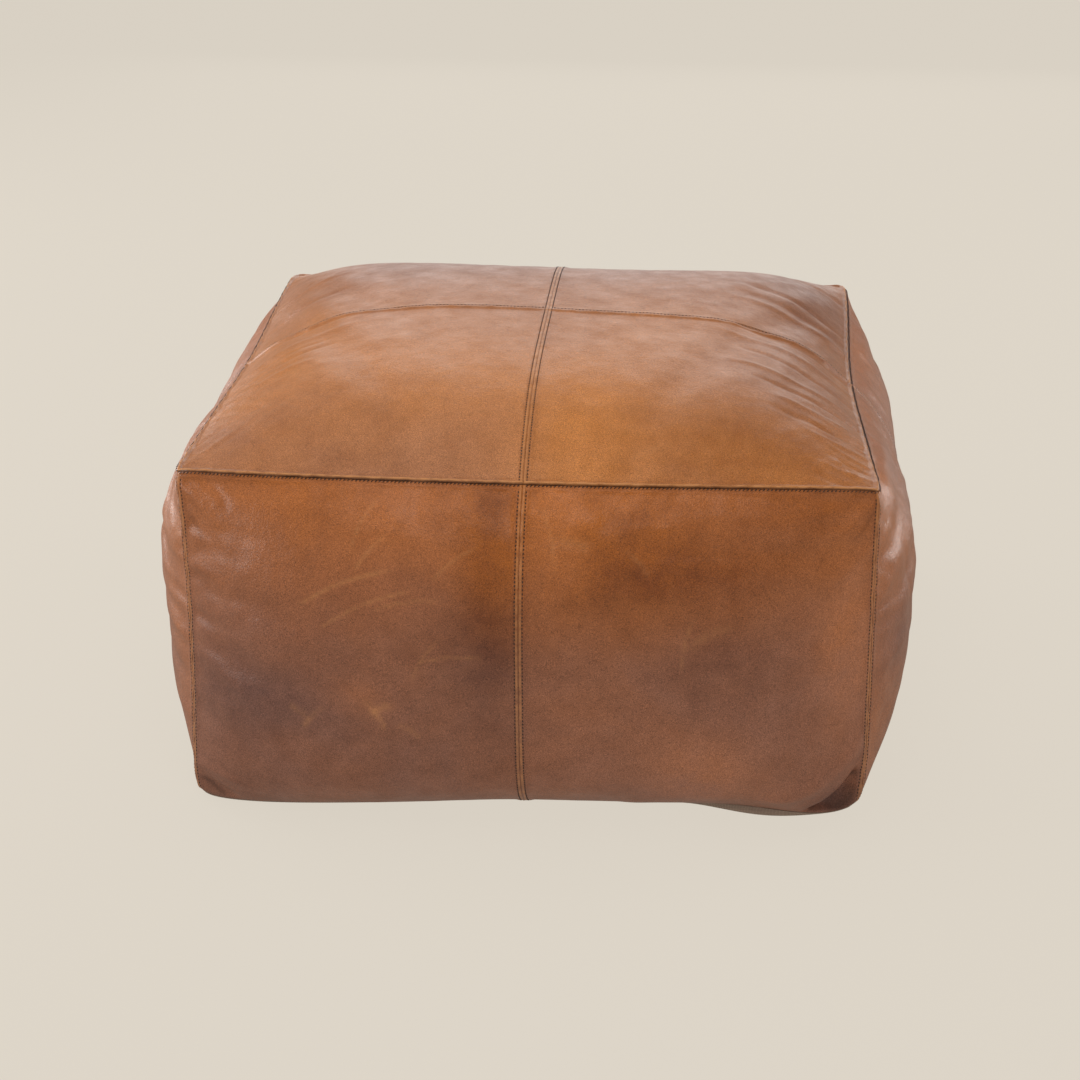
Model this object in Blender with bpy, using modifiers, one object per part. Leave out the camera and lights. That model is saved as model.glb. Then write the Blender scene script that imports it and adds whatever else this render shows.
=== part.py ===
"""A square Moroccan leather pouf, standing on its base.

The cover is sewn from twelve leather panels and a canvas base in two halves, which a zip joins.
A cotton inner bag inside the cover holds the filling. The pouf's front faces -Y, +Z is up, and
the origin is on the floor at the middle of the footprint. All lengths are in metres.

Every sewn piece is a slab between two depths of one bulged box, so that neighbours meet in a
mitre along each seam. A face of the box has two coordinates, which run from -1 to 1 across the
faces on top and below, and from 0 to 1 up a side.
"""

import math

import bmesh
import bpy
from mathutils import Vector

MM = 0.001

# The stuffed cover
CORNER_WIDTH = 0.600        # between two top corners, along X and along Y
CORNER_HEIGHT = 0.317       # of the top corners above the floor
CROWN = 0.066               # rise of the top's middle over its corners
CROWN_POWER = 3.5           # a higher power gives a flatter middle and steeper edges
TOP_EDGE_PULL = 0.006       # inward, at the middle of each top edge
TOP_EDGE_DROP = 0.008       # down, at the middle of each top edge
BASE_WIDTH = 0.592          # between two bottom corners
BASE_EDGE_PULL = 0.022      # inward, at the middle of each bottom edge
BASE_CORNER_RISE = 0.004    # of the bottom corners above the floor
BASE_EDGE_RISE = 0.007      # of the middle of a bottom edge above its corners
BASE_FLAT = 0.866           # the part of the base, along each axis, that lies flat on the floor
BULGE = 0.068               # of the middle of a side beyond its corners
BULGE_POWER = 3.0           # along the side
BULGE_HEIGHT = 0.48         # of the widest level, as a part of the side's height
BULGE_RISE_POWER = 3.0      # above and below the widest level
DIVISIONS = 6               # grid cells along each edge of a panel

# Thicknesses, and the clearances between layers
LEATHER = 1.6 * MM
CANVAS = 1.6 * MM
COTTON = 0.6 * MM
BAG_DEPTH = 5.0 * MM        # of the inner bag's outer skin under the cover's surface
FILLING_DEPTH = 6.6 * MM
SEAM_GAP = 0.5 * MM
CLEARANCE = 0.3 * MM
BAG_SLIT = 5.0 * MM         # width of the opening that the inner bag is filled through

# Topstitching
THREAD_RADIUS = 0.4 * MM
THREAD_LIFT = 0.8 * MM      # clearance between a row of stitches and the panel under it
STITCH_INSET = 3.3 * MM     # of a row of stitches from its seam
ROW_END = 3.0 * MM          # from the end of a row to the next row or seam

# The zip, which lies along X in a channel of the base, clear of the floor
CHANNEL_RISE = 6.0 * MM     # of the base's underside, along the zip
CHANNEL_FLAT = 17.0 * MM    # half the width of the channel's flat roof
CHANNEL_REACH = 76.0 * MM   # half the width of the channel where it starts to rise
BAG_CHANNEL_RISE = 14.0 * MM
SLOT_HALF_LENGTH = 0.190
SLOT_HALF_WIDTH = 6.0 * MM
SLOT_TAPER = 10.0 * MM      # length over which each end of the slot closes
TAPE_HALF_LENGTH = 0.198
TAPE_INNER = 3.2 * MM       # from the zip's middle to the tape's inner edge
TAPE_OUTER = 16.0 * MM
TAPE_THICKNESS = 0.6 * MM
TAPE_Z = 8.2 * MM           # height of the tape's middle
COIL_RADIUS = 1.2 * MM
COIL_OFFSET = 1.7 * MM      # of each coil's axis from the zip's middle
COIL_START = -0.184
COIL_END = 0.180
STOP_LENGTH = 3.0 * MM
ZIP_STITCH_OFFSET = 9.0 * MM
ZIP_STITCH_HALF_LENGTH = 0.205

# The slider and its pull
SLIDER_X = 0.175            # middle of the slider when the zip is closed
SLIDER_LENGTH = 10.0 * MM
SLIDER_HALF_WIDTH = 4.4 * MM
SLIDER_HALF_HEIGHT = 3.0 * MM
PLATE_THICKNESS = 1.2 * MM
FLANGE_WIDTH = 1.0 * MM
FLANGE_GAP = 0.7 * MM       # half the height of the mouths that the tapes run through
WEB_HALF_WIDTH = 0.2 * MM
LUG_INNER = 1.5 * MM        # from the middle to each lug that holds the pin
LUG_WIDTH = 1.0 * MM
LUG_HALF_LENGTH = 1.2 * MM
PIN_Z = 3.1 * MM
PIN_RADIUS = 0.5 * MM
EYE_RADIUS = 1.8 * MM       # outside of the pull's eye
EYE_BORE = 0.8 * MM
EYE_HALF_WIDTH = 1.2 * MM
PULL_LENGTH = 25.0 * MM
PULL_HALF_WIDTH = 3.2 * MM
PULL_SHOULDER = 4.0 * MM    # from the pin to the place where the pull widens
PULL_THICKNESS = 1.2 * MM
PULL_SLOPE = math.radians(5)    # below level, when the pull rests just over the floor

# Colours, linear RGB
LEATHER_TOP = (0.42, 0.19, 0.085)
LEATHER_FRONT = (0.33, 0.125, 0.045)
LEATHER_SIDE = (0.29, 0.12, 0.05)
CANVAS_TAUPE = (0.20, 0.145, 0.10)
THREAD_BROWN = (0.035, 0.018, 0.012)
TAPE_BROWN = (0.09, 0.05, 0.03)
COIL_BROWN = (0.07, 0.04, 0.025)
BRASS = (0.55, 0.38, 0.16)
COTTON_WHITE = (0.72, 0.67, 0.58)
FIBRE_WHITE = (0.80, 0.78, 0.73)

# Each side and its two halves, in the order in which u runs from -1 to 1
SIDES = (
    ("front", "left", "right"),
    ("right", "front", "back"),
    ("back", "right", "left"),
    ("left", "back", "front"),
)

HALF_WIDTH = CORNER_WIDTH / 2
HALF_BASE = BASE_WIDTH / 2
CENTRE_HEIGHT = 0.190       # depths are measured towards this level of the middle axis
HALF_SPAN = HALF_WIDTH + BULGE
HALF_SEAM = SEAM_GAP / 2 / HALF_WIDTH
HALF_SEAM_UP = SEAM_GAP / 2 / CORNER_HEIGHT
INSET = STITCH_INSET / HALF_WIDTH
INSET_UP = STITCH_INSET / CORNER_HEIGHT
END = ROW_END / HALF_WIDTH
END_UP = ROW_END / CORNER_HEIGHT
THREAD_DEPTH = -(THREAD_LIFT + THREAD_RADIUS)


# The form of the stuffed cover


def clamp(value):
    """Limit a value to the range from 0 to 1."""
    return min(max(value, 0.0), 1.0)


def dome(position, power):
    """A crown that is 1 in the middle and 0 at -1 and 1."""
    return 1 - abs(position) ** power


def edge_weight(a, b):
    """How close a point of a square face is to the middle of an edge: 1 there, 0 at the corners."""
    return dome(a, 2) * b * b + dome(b, 2) * a * a


def top_point(a, b):
    """The outer surface of the top."""
    x = a * (HALF_WIDTH - TOP_EDGE_PULL * dome(b, 2))
    y = b * (HALF_WIDTH - TOP_EDGE_PULL * dome(a, 2))
    crown = CROWN * dome(a, CROWN_POWER) * dome(b, CROWN_POWER)
    return Vector((x, y, CORNER_HEIGHT + crown - TOP_EDGE_DROP * edge_weight(a, b)))


def base_point(a, b, channel_rise=CHANNEL_RISE, channel_flat=CHANNEL_FLAT):
    """The underside of the base, flat but for its rising edge and the channel along the zip."""
    x = a * (HALF_BASE - BASE_EDGE_PULL * dome(b, 2))
    y = b * (HALF_BASE - BASE_EDGE_PULL * dome(a, 2))
    rim = clamp((max(abs(a), abs(b)) - BASE_FLAT) / (1 - BASE_FLAT))
    edge = BASE_CORNER_RISE + BASE_EDGE_RISE * edge_weight(a, b)
    across = clamp((CHANNEL_REACH - abs(b) * HALF_BASE) / (CHANNEL_REACH - channel_flat))
    return Vector((x, y, rim * edge + (1 - rim) * across * channel_rise))


def front_point(u, height):
    """The outer surface of the front, from its bottom edge to its top edge."""
    bottom = base_point(u, -1)
    top = top_point(u, -1)
    level = height - BULGE_HEIGHT
    reach = 1 - BULGE_HEIGHT if level > 0 else BULGE_HEIGHT
    point = bottom.lerp(top, height)
    point.y -= BULGE * dome(u, BULGE_POWER) * dome(level / reach, BULGE_RISE_POWER)
    return point


def side_point(quarter_turns):
    """The surface of the side that lies this many quarter turns from the front, seen from above."""
    angle = quarter_turns * math.pi / 2
    cosine = round(math.cos(angle))
    sine = round(math.sin(angle))

    def point_at(u, height):
        x, y, z = front_point(u, height)
        return Vector((cosine * x - sine * y, sine * x + cosine * y, z))

    return point_at


def inward(point, depth):
    """The point that lies this deep under a point of the outer surface."""
    level = point.z - CENTRE_HEIGHT
    across = 1 - depth / HALF_SPAN
    return Vector((point.x * across, point.y * across,
                   CENTRE_HEIGHT + level * (1 - depth / CENTRE_HEIGHT)))


def spread(start, end, count):
    """Evenly spaced values from start to end, with this many steps between them."""
    return [start + (end - start) * step / count for step in range(count + 1)]


def eased(value):
    """Move a value from -1 to 1 towards its nearer end, where the form curves most."""
    return math.sin(value * math.pi / 2)


def towards_edge(start, end):
    """Values from a face's middle to its edge, closer together at the edge."""
    return [start + (end - start) * eased(step) for step in spread(0, 1, DIVISIONS)]


def bottom_to_top(start, end):
    """Values up a side, closer together at the bottom and the top."""
    return [start + (end - start) * (1 + eased(step)) / 2 for step in spread(-1, 1, DIVISIONS)]


def trimmed(lines, start, end):
    """The same values with other ends, for a row of stitches that stops short of a panel's edge."""
    return [start] + lines[1:-1] + [end]


# Objects


def finish(thing, colour, roughness, metallic=0.0):
    """Give an object its own material and put it among the pouf's parts."""
    material = bpy.data.materials.new(thing.name)
    material.use_nodes = True
    shader = material.node_tree.nodes["Principled BSDF"]
    shader.inputs["Base Color"].default_value = (*colour, 1)
    shader.inputs["Roughness"].default_value = roughness
    shader.inputs["Metallic"].default_value = metallic
    thing.data.materials.append(material)
    parts.objects.link(thing)
    return thing


def mesh_object(name, shape):
    """Turn a bmesh into a smooth-shaded object whose faces point outward.

    Every layer of the pouf splits its four-sided cells along the same diagonals.
    """
    cells = [face for face in shape.faces if len(face.verts) == 4]
    bmesh.ops.triangulate(shape, faces=cells, quad_method="SHORT_EDGE")
    bmesh.ops.recalc_face_normals(shape, faces=shape.faces[:])
    if shape.calc_volume(signed=True) < 0:
        bmesh.ops.reverse_faces(shape, faces=shape.faces[:])
    mesh = bpy.data.meshes.new(name)
    shape.to_mesh(mesh)
    shape.free()
    mesh.shade_smooth()
    mesh.set_sharp_from_angle(angle=math.radians(50))
    return bpy.data.objects.new(name, mesh)


def slab(name, columns, rows, point_at, thickness):
    """A panel with grid lines at the given coordinates, whose outer skin is the cover's surface."""
    shape = bmesh.new()
    last_column = len(columns) - 1
    last_row = len(rows) - 1
    bmesh.ops.create_grid(shape, x_segments=last_column, y_segments=last_row, size=1)
    extruded = bmesh.ops.extrude_face_region(shape, geom=shape.faces[:])
    inner = {item for item in extruded["geom"] if isinstance(item, bmesh.types.BMVert)}
    for vert in shape.verts:
        column = columns[round((vert.co.x + 1) / 2 * last_column)]
        row = rows[round((vert.co.y + 1) / 2 * last_row)]
        depth = thickness if vert in inner else 0.0
        vert.co = inward(point_at(column, row), depth)
    return mesh_object(name, shape)


def thread(name, points, closed=False):
    """A row of stitches as one plain cord along a list of points."""
    curve = bpy.data.curves.new(name, "CURVE")
    curve.dimensions = "3D"
    curve.bevel_depth = THREAD_RADIUS
    curve.bevel_resolution = 2
    curve.use_fill_caps = not closed
    spline = curve.splines.new("POLY")
    spline.points.add(len(points) - 1)
    for spline_point, point in zip(spline.points, points):
        spline_point.co = (*point, 1)
    spline.use_cyclic_u = closed
    finish(bpy.data.objects.new(name, curve), THREAD_BROWN, 0.7)


def surface_thread(name, point_at, coordinates):
    """A row of stitches that lies on the surface, through a list of surface coordinates."""
    thread(name, [inward(point_at(u, v), THREAD_DEPTH) for u, v in coordinates])


def box(name, low, high, bevel=0.0):
    """A block between two opposite corners, with its long edges rounded where bevel is given."""
    shape = bmesh.new()
    bmesh.ops.create_cube(shape, size=1)
    low = Vector(low)
    high = Vector(high)
    for vert in shape.verts:
        vert.co = Vector(low[i] + (vert.co[i] + 0.5) * (high[i] - low[i]) for i in range(3))
    if bevel:
        bmesh.ops.bevel(shape, geom=shape.edges[:], offset=bevel, segments=1, affect="EDGES")
    return mesh_object(name, shape)


def outline_object(name, points, half_depth, bore=None):
    """A flat outline in X and Y, with an optional hole, extruded both ways along Z."""
    curve = bpy.data.curves.new(name, "CURVE")
    curve.dimensions = "2D"
    curve.fill_mode = "BOTH"
    curve.extrude = half_depth
    for loop in [points] + ([bore] if bore else []):
        spline = curve.splines.new("POLY")
        spline.points.add(len(loop) - 1)
        for spline_point, (x, y) in zip(spline.points, loop):
            spline_point.co = (x, y, 0, 1)
        spline.use_cyclic_u = True
    return bpy.data.objects.new(name, curve)


def arc(radius, steps, start, end):
    """Points on an arc round the origin, with both ends."""
    angles = spread(start, end, steps)
    return [(radius * math.cos(angle), radius * math.sin(angle)) for angle in angles]


def rod(radius, length):
    """A round rod along Z, centred on the origin."""
    shape = bmesh.new()
    bmesh.ops.create_cone(shape, cap_ends=True, segments=12, radius1=radius, radius2=radius,
                          depth=length)
    return shape


def solid_mesh(outline, turn):
    """Make a mesh object of an extruded outline, with each of its points moved by a function."""
    cutters.objects.link(outline)
    evaluated = outline.evaluated_get(bpy.context.evaluated_depsgraph_get())
    mesh = bpy.data.meshes.new_from_object(evaluated)
    shape = bmesh.new()
    shape.from_mesh(mesh)
    bmesh.ops.remove_doubles(shape, verts=shape.verts[:], dist=0.01 * MM)
    for vert in shape.verts:
        vert.co = turn(vert.co)
    name = outline.name
    bpy.data.objects.remove(outline)
    return mesh_object(name, shape)


# The sewn cover


def leather_panels():
    """Four panels on top, and two on each side."""
    seam_to_edge = towards_edge(HALF_SEAM, 1 - HALF_SEAM)
    edge_to_seam = [-value for value in reversed(seam_to_edge)]
    halves = {"left": edge_to_seam, "right": seam_to_edge}
    depths = {"front": edge_to_seam, "back": seam_to_edge}
    for y_name, rows in depths.items():
        for x_name, columns in halves.items():
            name = f"top_panel_{y_name}_{x_name}"
            finish(slab(name, columns, rows, top_point, LEATHER), LEATHER_TOP, 0.45)
    rows = bottom_to_top(HALF_SEAM_UP, 1 - HALF_SEAM_UP)
    for quarter, (side, first, second) in enumerate(SIDES):
        colour = LEATHER_FRONT if side == "front" else LEATHER_SIDE
        for half, columns in ((first, edge_to_seam), (second, seam_to_edge)):
            name = f"{side}_panel_{half}"
            finish(slab(name, columns, rows, side_point(quarter), LEATHER), colour, 0.45)


def base_panels():
    """Two canvas halves that meet along X, apart from the slot that the zip closes."""
    half_length = HALF_BASE - BASE_EDGE_PULL
    slot_end = SLOT_HALF_LENGTH / half_length
    slot_closed = (SLOT_HALF_LENGTH + SLOT_TAPER) / half_length
    positive = sorted(towards_edge(0, 1 - HALF_SEAM) + [slot_end, slot_closed])
    columns = [-value for value in reversed(positive[1:])] + positive
    rows = sorted(towards_edge(0, 1 - HALF_SEAM) + [CHANNEL_FLAT / HALF_BASE])

    def inner_edge(a):
        """The distance from the middle to the panel's inner edge, as a part of half the width."""
        open_part = clamp((slot_closed - abs(a)) / (slot_closed - slot_end))
        return HALF_SEAM + open_part * (SLOT_HALF_WIDTH / HALF_BASE - HALF_SEAM)

    for name, direction in (("base_panel_front", -1), ("base_panel_back", 1)):
        def point_at(a, b, direction=direction):
            return base_point(a, direction * max(b, inner_edge(a)))

        finish(slab(name, columns, rows, point_at, CANVAS), CANVAS_TAUPE, 0.9)


def top_stitching():
    """Two rows along the lengthwise seam and one row behind each half of the crosswise seam."""
    half = trimmed(towards_edge(HALF_SEAM, 1 - HALF_SEAM), HALF_SEAM, 1 - END)
    along = [-b for b in reversed(half)] + half
    for name, a in (("left", -INSET), ("right", INSET)):
        surface_thread(f"top_lengthwise_stitching_{name}", top_point, [(a, b) for b in along])
    across = trimmed(half, INSET + END, 1 - END)
    for name, direction in (("left", -1), ("right", 1)):
        surface_thread(f"top_crosswise_stitching_{name}", top_point,
                       [(direction * a, INSET) for a in across])


def perimeter_stitching():
    """One row round the cover, on the sides, just below the seam of the top."""
    points = []
    for quarter in range(4):
        point_at = side_point(quarter)
        points += [inward(point_at(u, 1 - INSET_UP), THREAD_DEPTH)
                   for u in map(eased, spread(-1, 1, 2 * DIVISIONS)[:-1])]
    thread("perimeter_stitching", points, closed=True)


def upright_stitching():
    """Two rows along each upright seam: the four corners and the four middles of the sides."""
    panel_rows = bottom_to_top(HALF_SEAM_UP, 1 - HALF_SEAM_UP)
    heights = trimmed(panel_rows, END_UP, 1 - INSET_UP - END_UP)
    for quarter, (side, first, second) in enumerate(SIDES):
        rows = (
            (f"{side}_corner_stitching_{first}", -1 + INSET),
            (f"{side}_middle_stitching_{first}", -INSET),
            (f"{side}_middle_stitching_{second}", INSET),
            (f"{side}_corner_stitching_{second}", 1 - INSET),
        )
        for name, u in rows:
            surface_thread(name, side_point(quarter), [(u, height) for height in heights])


def zip_stitching():
    """One row round the zip, on the underside of the base."""
    x = ZIP_STITCH_HALF_LENGTH
    y = ZIP_STITCH_OFFSET
    z = CHANNEL_RISE + THREAD_DEPTH
    thread("zip_stitching", [(-x, -y, z), (x, -y, z), (x, y, z), (-x, y, z)], closed=True)


# The inside


def cage():
    """A closed cube, cut along the lines of the panels' grids, that takes the cover's form."""
    shape = bmesh.new()
    bmesh.ops.create_cube(shape, size=2)
    for axis, cells in ((0, 2 * DIVISIONS), (1, 2 * DIVISIONS), (2, DIVISIONS)):
        normal = [0, 0, 0]
        normal[axis] = 1
        for level in spread(-1, 1, cells)[1:-1]:
            everything = shape.verts[:] + shape.edges[:] + shape.faces[:]
            place = [level * part for part in normal]
            bmesh.ops.bisect_plane(shape, geom=everything, plane_co=place, plane_no=normal)
    return shape


def cage_point(corner):
    """The point of the cover's form for a point on the surface of the cube."""
    x, y, z = [eased(round(value, 4)) for value in corner]
    if z >= 1:
        return top_point(x, y)
    if z <= -1:
        return base_point(x, y, BAG_CHANNEL_RISE, 0.0)
    height = (z + 1) / 2
    if y <= -1:
        return side_point(0)(x, height)
    if x >= 1:
        return side_point(1)(y, height)
    if y >= 1:
        return side_point(2)(-x, height)
    return side_point(3)(-y, height)


def filling():
    """The stuffing, as one soft solid."""
    shape = cage()
    for vert in shape.verts:
        vert.co = inward(cage_point(vert.co), FILLING_DEPTH)
    finish(mesh_object("filling", shape), FIBRE_WHITE, 1.0)


def inner_bag():
    """The cotton bag round the filling, open along a slit in its base, beside the zip."""
    shape = cage()
    slit_row = 1 / DIVISIONS
    slit_reach = 2 / DIVISIONS
    slit = [edge for edge in shape.edges
            if all(vert.co.z < -0.99 and abs(vert.co.y - slit_row) < 0.01
                   and abs(vert.co.x) < slit_reach + 0.01 for vert in edge.verts)]
    bmesh.ops.split_edges(shape, edges=slit)
    lips = {}
    for vert in shape.verts:
        on_slit = vert.co.z < -0.99 and abs(vert.co.y - slit_row) < 0.01
        if on_slit and abs(vert.co.x) < slit_reach - 0.01:
            middle = sum(face.calc_center_median().y for face in vert.link_faces)
            behind = middle / len(vert.link_faces) > vert.co.y
            lips[vert] = BAG_SLIT / 2 if behind else -BAG_SLIT / 2
    for vert in shape.verts:
        vert.co = inward(cage_point(vert.co), BAG_DEPTH)
    for vert, shift in lips.items():
        vert.co.y += shift
    bag = finish(mesh_object("inner_bag", shape), COTTON_WHITE, 0.95)
    skin = bag.modifiers.new("skin", "SOLIDIFY")
    skin.thickness = COTTON
    skin.offset = -1


# The zip


def zip_chain():
    """Two tapes, a coil on each, and the stops at both ends."""
    half_tape = TAPE_THICKNESS / 2
    for name, direction in (("front", -1), ("back", 1)):
        inner = direction * TAPE_INNER
        outer = direction * TAPE_OUTER
        low = (-TAPE_HALF_LENGTH, min(inner, outer), TAPE_Z - half_tape)
        high = (TAPE_HALF_LENGTH, max(inner, outer), TAPE_Z + half_tape)
        finish(box(f"zip_tape_{name}", low, high), TAPE_BROWN, 0.85)
        shape = rod(COIL_RADIUS, COIL_END - COIL_START)
        for vert in shape.verts:
            x, y, z = vert.co
            vert.co = (z + (COIL_START + COIL_END) / 2, y + direction * COIL_OFFSET, x + TAPE_Z)
        finish(mesh_object(f"zip_coil_{name}", shape), COIL_BROWN, 0.4)
        reach = COIL_OFFSET + COIL_RADIUS
        start = COIL_END + CLEARANCE
        near = direction * (COIL_OFFSET - COIL_RADIUS)
        low = (start, min(near, direction * reach), TAPE_Z - COIL_RADIUS)
        high = (start + STOP_LENGTH, max(near, direction * reach), TAPE_Z + COIL_RADIUS)
        finish(box(f"zip_top_stop_{name}", low, high, 0.3 * MM), BRASS, 0.35, 1.0)
    reach = COIL_OFFSET + COIL_RADIUS
    end = COIL_START - CLEARANCE
    low = (end - STOP_LENGTH, -reach, TAPE_Z - COIL_RADIUS)
    high = (end, reach, TAPE_Z + COIL_RADIUS)
    finish(box("zip_bottom_stop", low, high, 0.3 * MM), BRASS, 0.35, 1.0)


def slider_section():
    """The slider's section across the zip: two flanged plates that a thin web joins."""
    quarter = [
        (WEB_HALF_WIDTH, SLIDER_HALF_HEIGHT - PLATE_THICKNESS),
        (SLIDER_HALF_WIDTH - FLANGE_WIDTH, SLIDER_HALF_HEIGHT - PLATE_THICKNESS),
        (SLIDER_HALF_WIDTH - FLANGE_WIDTH, FLANGE_GAP),
        (SLIDER_HALF_WIDTH, FLANGE_GAP),
        (SLIDER_HALF_WIDTH, SLIDER_HALF_HEIGHT),
    ]
    right = [(y, -z) for y, z in reversed(quarter)] + quarter
    return right + [(-y, z) for y, z in reversed(quarter)] + [(-y, -z) for y, z in quarter]


def join(target, tools):
    """Unite other solids with an object, and keep them as its children."""
    for tool in tools:
        tool.hide_render = True
        tool.display_type = "WIRE"
        tool.parent = target
        cutters.objects.link(tool)
        union = target.modifiers.new(tool.name, "BOOLEAN")
        union.operation = "UNION"
        union.solver = "EXACT"
        union.object = tool


def zip_slider():
    """The slider that closes the zip, with two lugs and a pin for its pull underneath.

    Its origin is on the zip's axis, under the middle of the slider.
    """
    outline = outline_object("zip_slider", slider_section(), SLIDER_LENGTH / 2)
    slider = solid_mesh(outline, lambda co: Vector((co.z, co.x, co.y + TAPE_Z)))
    slider.location.x = SLIDER_X
    finish(slider, BRASS, 0.3, 1.0)
    lug_top = TAPE_Z - SLIDER_HALF_HEIGHT + PLATE_THICKNESS / 2
    fittings = []
    for name, near, far in (("lug_front", -LUG_INNER - LUG_WIDTH, -LUG_INNER),
                            ("lug_back", LUG_INNER, LUG_INNER + LUG_WIDTH)):
        low = (-LUG_HALF_LENGTH, near, PIN_Z - LUG_HALF_LENGTH)
        high = (LUG_HALF_LENGTH, far, lug_top)
        fittings.append(box(name, low, high))
    shape = rod(PIN_RADIUS, 2 * LUG_INNER + LUG_WIDTH)
    for vert in shape.verts:
        x, y, z = vert.co
        vert.co = (x, z, y + PIN_Z)
    fittings.append(mesh_object("pin", shape))
    join(slider, fittings)
    return slider


def zip_pull(slider):
    """The pull: an eye round the slider's pin, and a flat tab that widens past the lugs.

    Its origin is on the pin's axis, and it slopes down from there to just over the floor.
    """
    half = PULL_THICKNESS / 2
    start = math.asin(half / EYE_RADIUS)
    outline = arc(EYE_RADIUS, 20, start, math.tau - start)
    outline += [(PULL_LENGTH, -half), (PULL_LENGTH, half)]
    bore = arc(EYE_BORE, 16, 0, math.tau)[:-1]
    profile = outline_object("zip_pull", outline, PULL_HALF_WIDTH, bore)

    def shaped(co):
        """Turn the outline upright, and narrow the end with the eye."""
        width = EYE_HALF_WIDTH if co.x < PULL_SHOULDER else PULL_HALF_WIDTH
        return Vector((-co.x, co.z * width / PULL_HALF_WIDTH, co.y))

    pull = solid_mesh(profile, shaped)
    pull.parent = slider
    pull.location.z = PIN_Z
    pull.rotation_euler.y = -PULL_SLOPE
    finish(pull, BRASS, 0.3, 1.0)


def build():
    leather_panels()
    base_panels()
    top_stitching()
    perimeter_stitching()
    upright_stitching()
    zip_stitching()
    filling()
    inner_bag()
    zip_chain()
    zip_pull(zip_slider())


for leftover in list(bpy.data.objects):
    bpy.data.objects.remove(leftover)
parts = bpy.data.collections.new("moroccan_leather_pouf")
cutters = bpy.data.collections.new("cutters")
bpy.context.scene.collection.children.link(parts)
bpy.context.scene.collection.children.link(cutters)
build()
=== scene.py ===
import math

import bmesh
import bpy
import numpy as np
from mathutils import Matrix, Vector


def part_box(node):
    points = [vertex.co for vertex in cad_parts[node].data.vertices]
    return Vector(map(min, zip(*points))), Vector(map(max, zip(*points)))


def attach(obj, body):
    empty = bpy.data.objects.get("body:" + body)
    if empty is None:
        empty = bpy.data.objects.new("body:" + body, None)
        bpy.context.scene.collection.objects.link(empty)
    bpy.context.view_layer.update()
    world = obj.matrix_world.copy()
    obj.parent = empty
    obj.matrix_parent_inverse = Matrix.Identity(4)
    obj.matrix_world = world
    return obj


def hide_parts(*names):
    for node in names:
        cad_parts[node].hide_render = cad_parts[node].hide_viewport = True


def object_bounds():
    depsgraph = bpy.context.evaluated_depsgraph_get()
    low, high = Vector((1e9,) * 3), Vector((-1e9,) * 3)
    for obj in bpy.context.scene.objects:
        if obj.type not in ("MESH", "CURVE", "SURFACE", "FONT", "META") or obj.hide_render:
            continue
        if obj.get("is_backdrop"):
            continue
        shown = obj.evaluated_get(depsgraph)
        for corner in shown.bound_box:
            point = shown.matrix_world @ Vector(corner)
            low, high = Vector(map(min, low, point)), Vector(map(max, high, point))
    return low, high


# The looks of a square Moroccan leather pouf. The pouf faces -Y. Lengths are in metres.
#
# The cover is a bulged box with six faces. A face has two coordinates: from -1 to 1 both ways
# on the top and the base, and from -1 to 1 along a side and from 0 to 1 up it. Every sewn piece
# is a patch of a face, raised and sunk along its seams.

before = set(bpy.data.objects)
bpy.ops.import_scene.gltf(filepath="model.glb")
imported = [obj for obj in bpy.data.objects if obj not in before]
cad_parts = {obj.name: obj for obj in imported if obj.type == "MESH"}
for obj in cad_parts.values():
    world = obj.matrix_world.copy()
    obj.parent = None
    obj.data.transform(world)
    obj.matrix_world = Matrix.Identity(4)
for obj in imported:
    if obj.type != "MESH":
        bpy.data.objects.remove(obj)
cad_low, cad_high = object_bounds()

MM = 0.001
SIDES = ("front", "right", "back", "left")
HALVES = {
    "front": ("left", "right"),
    "right": ("front", "back"),
    "back": ("right", "left"),
    "left": ("back", "front"),
}
FACES = ("top", "base") + SIDES

# Sizes from the frame
top_low, top_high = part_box("top_panel_front_left")
SEAM_GAP = 0.5 * MM
CROWN_SPARE = 3 * MM        # kept free below the CAD top for the raised seams
HALF_WIDTH = SEAM_GAP / 2 - top_low.x
CORNER_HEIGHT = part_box("front_panel_left")[1].z
CROWN = top_high.z - CORNER_HEIGHT - CROWN_SPARE
HALF_BASE = SEAM_GAP / 2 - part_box("base_panel_front")[0].x

# How the stuffed cover differs from side to side: how far the middle of each top edge is pulled
# in and how far it drops, how far each side bulges, and how far its bottom edge is pulled in
EDGE_PULL = {"front": -0.015, "right": 0.003, "back": 0.021, "left": -0.002}
EDGE_DROP = {"front": -0.002, "right": 0.008, "back": 0.011, "left": 0.003}
BULGE = {"front": 0.066, "right": 0.056, "back": 0.062, "left": 0.055}
BASE_PULL = {"front": -0.004, "right": 0.012, "back": 0.006, "left": 0.026}
BASE_SPREAD = 0.006         # of the bottom corners, beyond the plain CAD form
BASE_NOTCH = 0.012          # inward, where each side's middle seam pulls the bottom edge in
CROWN_POWER = (4.4, 4.6)    # across and from front to back
BACK_POWER = 2.6            # added across, towards the back
TOP_NOTCH = 0.006           # inward, where the crosswise seam pulls the top's side edges in
BACK_CORNER_RISE = 0.006    # of the top's back corners
CROWN_DIP = 0.005           # to the right of the middle
BULGE_POWER = 4.6           # along a side
# The height at which each side is widest, as a part of its height, and how the bulge falls off
# above and below it
WIDEST = {"front": 0.45, "right": 0.50, "back": 0.48, "left": 0.52}
RISE_POWER = 3.36
FALL_POWER = {"front": 4.0, "right": 2.7, "back": 3.0, "left": 3.3}
BASE_FLAT = 0.88            # the part of the base, along each axis, that lies flat
BASE_EDGE_RISE = 0.003      # of the middle of each bottom edge
BASE_CORNER = 0.0015        # height of the bottom corners
LIFT = 0.010                # of the leather's lower edge off the floor, at the front on the right
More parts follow.
